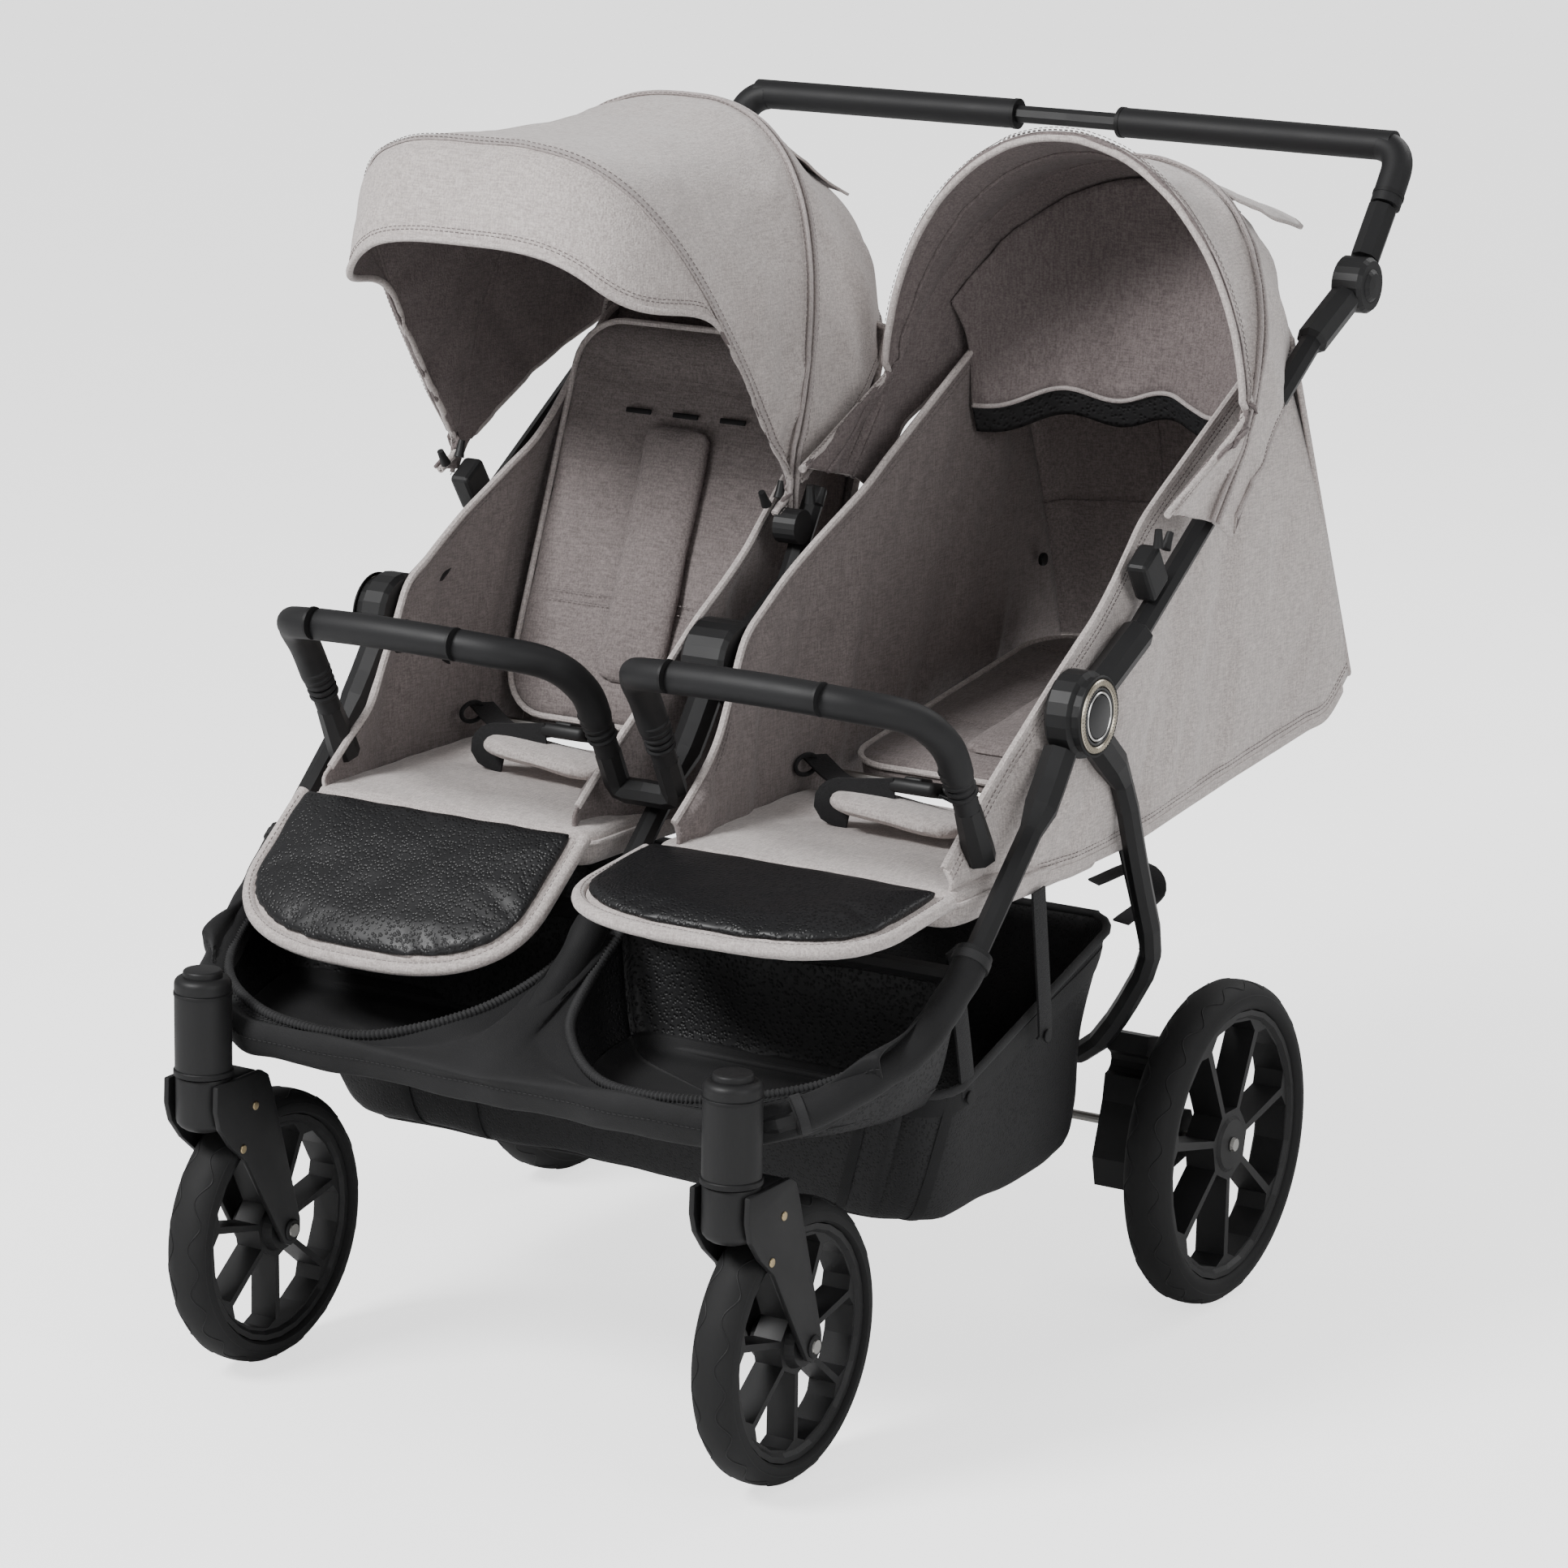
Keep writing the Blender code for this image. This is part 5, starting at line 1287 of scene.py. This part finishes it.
def bumper_details(side_name, side):
    """Foam bar with seams round it and ribbed bellows above each socket."""
    name, body = f"bumper_{side_name}", f"bumper_bar_{side_name}"
    path, bellows = [], []
    for x, lean, order in ((0.330, -1, 1), (0.030, 1, -1)):
        leg = [(x, -0.2335, 0.5495), (x, -0.250, 0.579), (x + lean * 0.0015, -0.270, 0.611),
               (x + lean * 0.014, -0.304, 0.638), (x + lean * 0.052, -0.3425, 0.652)]
        path += leg[::order] + ([(0.1825, -0.3540, 0.657)] if order > 0 else [])
        foot, bend = Vector((side * x, -0.240, 0.562)), Vector((side * (x + lean * 0.002), -0.258, 0.592))
        run = bend - foot
        for i in range(5):
            at = foot + run * (0.10 + 0.2 * i)
            ends = [at + run * share for share in (-0.075, -0.04, 0.0, 0.04, 0.075)]
            bellows.append(tube_part(ends, lambda t: 0.0122 + 0.0016 * math.sin(math.pi * t), 20))
    path = spread(mirrored(path, side), 150)
    tube(f"{name}_foam", path, lambda t: 0.0112 + 0.0030 * float(ease((min(t, 1 - t) - 0.045) / 0.03)), FOAM, body,
         (body,), 24)
    solid_piece(f"{name}_bellows", bellows, FOAM, body)
    seams = [
        tube_part([(side * (x + d), -0.3552, 0.6566) for d in (-0.0012, 0.0012)], 0.0146, 24) for x in (0.108, 0.258)
    ]
    solid_piece(f"{name}_seams", seams, PLASTIC_DARK, body)


handle()
for side_name, side in SIDES:
    for make in (hub_cover, caster_details, bumper_details):
        make(side_name, side)
    for which in ("front", "rear"):
        tyre(which, side_name)


# ---- CAD parts that stay ----
SHARP = math.radians(38)
BEVELLED = ("caster", "hub", "handle_joint", "canopy_clip", "back_hinge", "rear_bracket", "brake")
for node in frame["nodes"].values():
    for place, old in enumerate(node.data.materials):
        node.data.materials[place] = SLOTS[old.name.split(".")[0]][0]
    node.data.shade_smooth()
    node.data.set_sharp_from_angle(angle=SHARP)
    if node.name.startswith(BEVELLED):
        edge = node.modifiers.new("edge", "BEVEL")
        edge.width = 0.0035 if node.name.startswith("caster_fork") else 0.0016
        edge.segments = 3
        edge.limit_method = "ANGLE"
        edge.angle_limit = SHARP


# ---- room, light and camera ----
FLOOR_GLOW = 1.6  # emission that only the camera sees, which keeps the floor pale
ROOM_LIGHT, ROOM_SEEN = 0.42, 2.6  # strength of the room as a light, and as the camera sees it


def room():
    reach = 14.0
    mesh = bpy.data.meshes.new("floor")
    mesh.from_pydata([(x * reach, y * reach, 0) for x, y in ((-1, -1), (1, -1), (1, 1), (-1, 1))], [], [(0, 1, 2, 3)])
    s = Shader("floor_paint", 0.8)
    s.colour(s.ramp(s.noise(s.coords, 3.0), 0.3, 0.7, (0.86, 0.86, 0.86), (0.90, 0.90, 0.90)))
    seen = s.node("ShaderNodeLightPath").outputs["Is Camera Ray"]
    s.give(s.main, Emission_Color=(1, 1, 1), Emission_Strength=s.times(seen, FLOOR_GLOW))
    mesh.materials.append(s.material)
    floor = shown("floor", mesh)
    floor.location = (0, 0, -0.0005)
    world = bpy.data.worlds.new("room")
    world.use_nodes = True
    tree = world.node_tree
    back = tree.nodes["Background"]
    back.inputs["Color"].default_value = (1.0, 1.0, 1.0, 1)
    seen = tree.nodes.new("ShaderNodeLightPath").outputs["Is Camera Ray"]
    power = tree.nodes.new("ShaderNodeMapRange")
    power.inputs["To Min"].default_value = ROOM_LIGHT
    power.inputs["To Max"].default_value = ROOM_SEEN
    tree.links.new(seen, power.inputs["Value"])
    tree.links.new(power.outputs[0], back.inputs["Strength"])
    bpy.context.scene.world = world


def softbox(name, place, target, size, power):
    light = bpy.data.lights.new(name, "AREA")
    light.energy = power
    light.shape = "RECTANGLE"
    light.size, light.size_y = size
    obj = shown(name, light)
    obj.location = place
    obj.rotation_euler = (Vector(target) - Vector(place)).to_track_quat("-Z", "Y").to_euler()


room()
softbox("key", (-1.3, -3.0, 3.3), (0, 0, 0.5), (1.3, 1.1), 200)
softbox("fill", (3.6, -1.4, 1.9), (0, 0, 0.5), (2.2, 2.2), 48)
softbox("back", (1.0, 3.4, 3.0), (0, 0, 0.7), (3.0, 1.6), 60)

camera = bpy.data.cameras.new("camera")
camera.sensor_width = 36.0
camera.lens = 120.4
eye = shown("camera", camera)
right, up = Vector((0.8525, 0.5224, 0.0170)), Vector((-0.1369, 0.1918, 0.9718))
turn = Matrix((right, up, right.cross(up).normalized())).transposed().to_4x4()
eye.matrix_world = Matrix.Translation((2.4086, -3.9535, 1.5984)) @ turn
bpy.context.scene.camera = eye
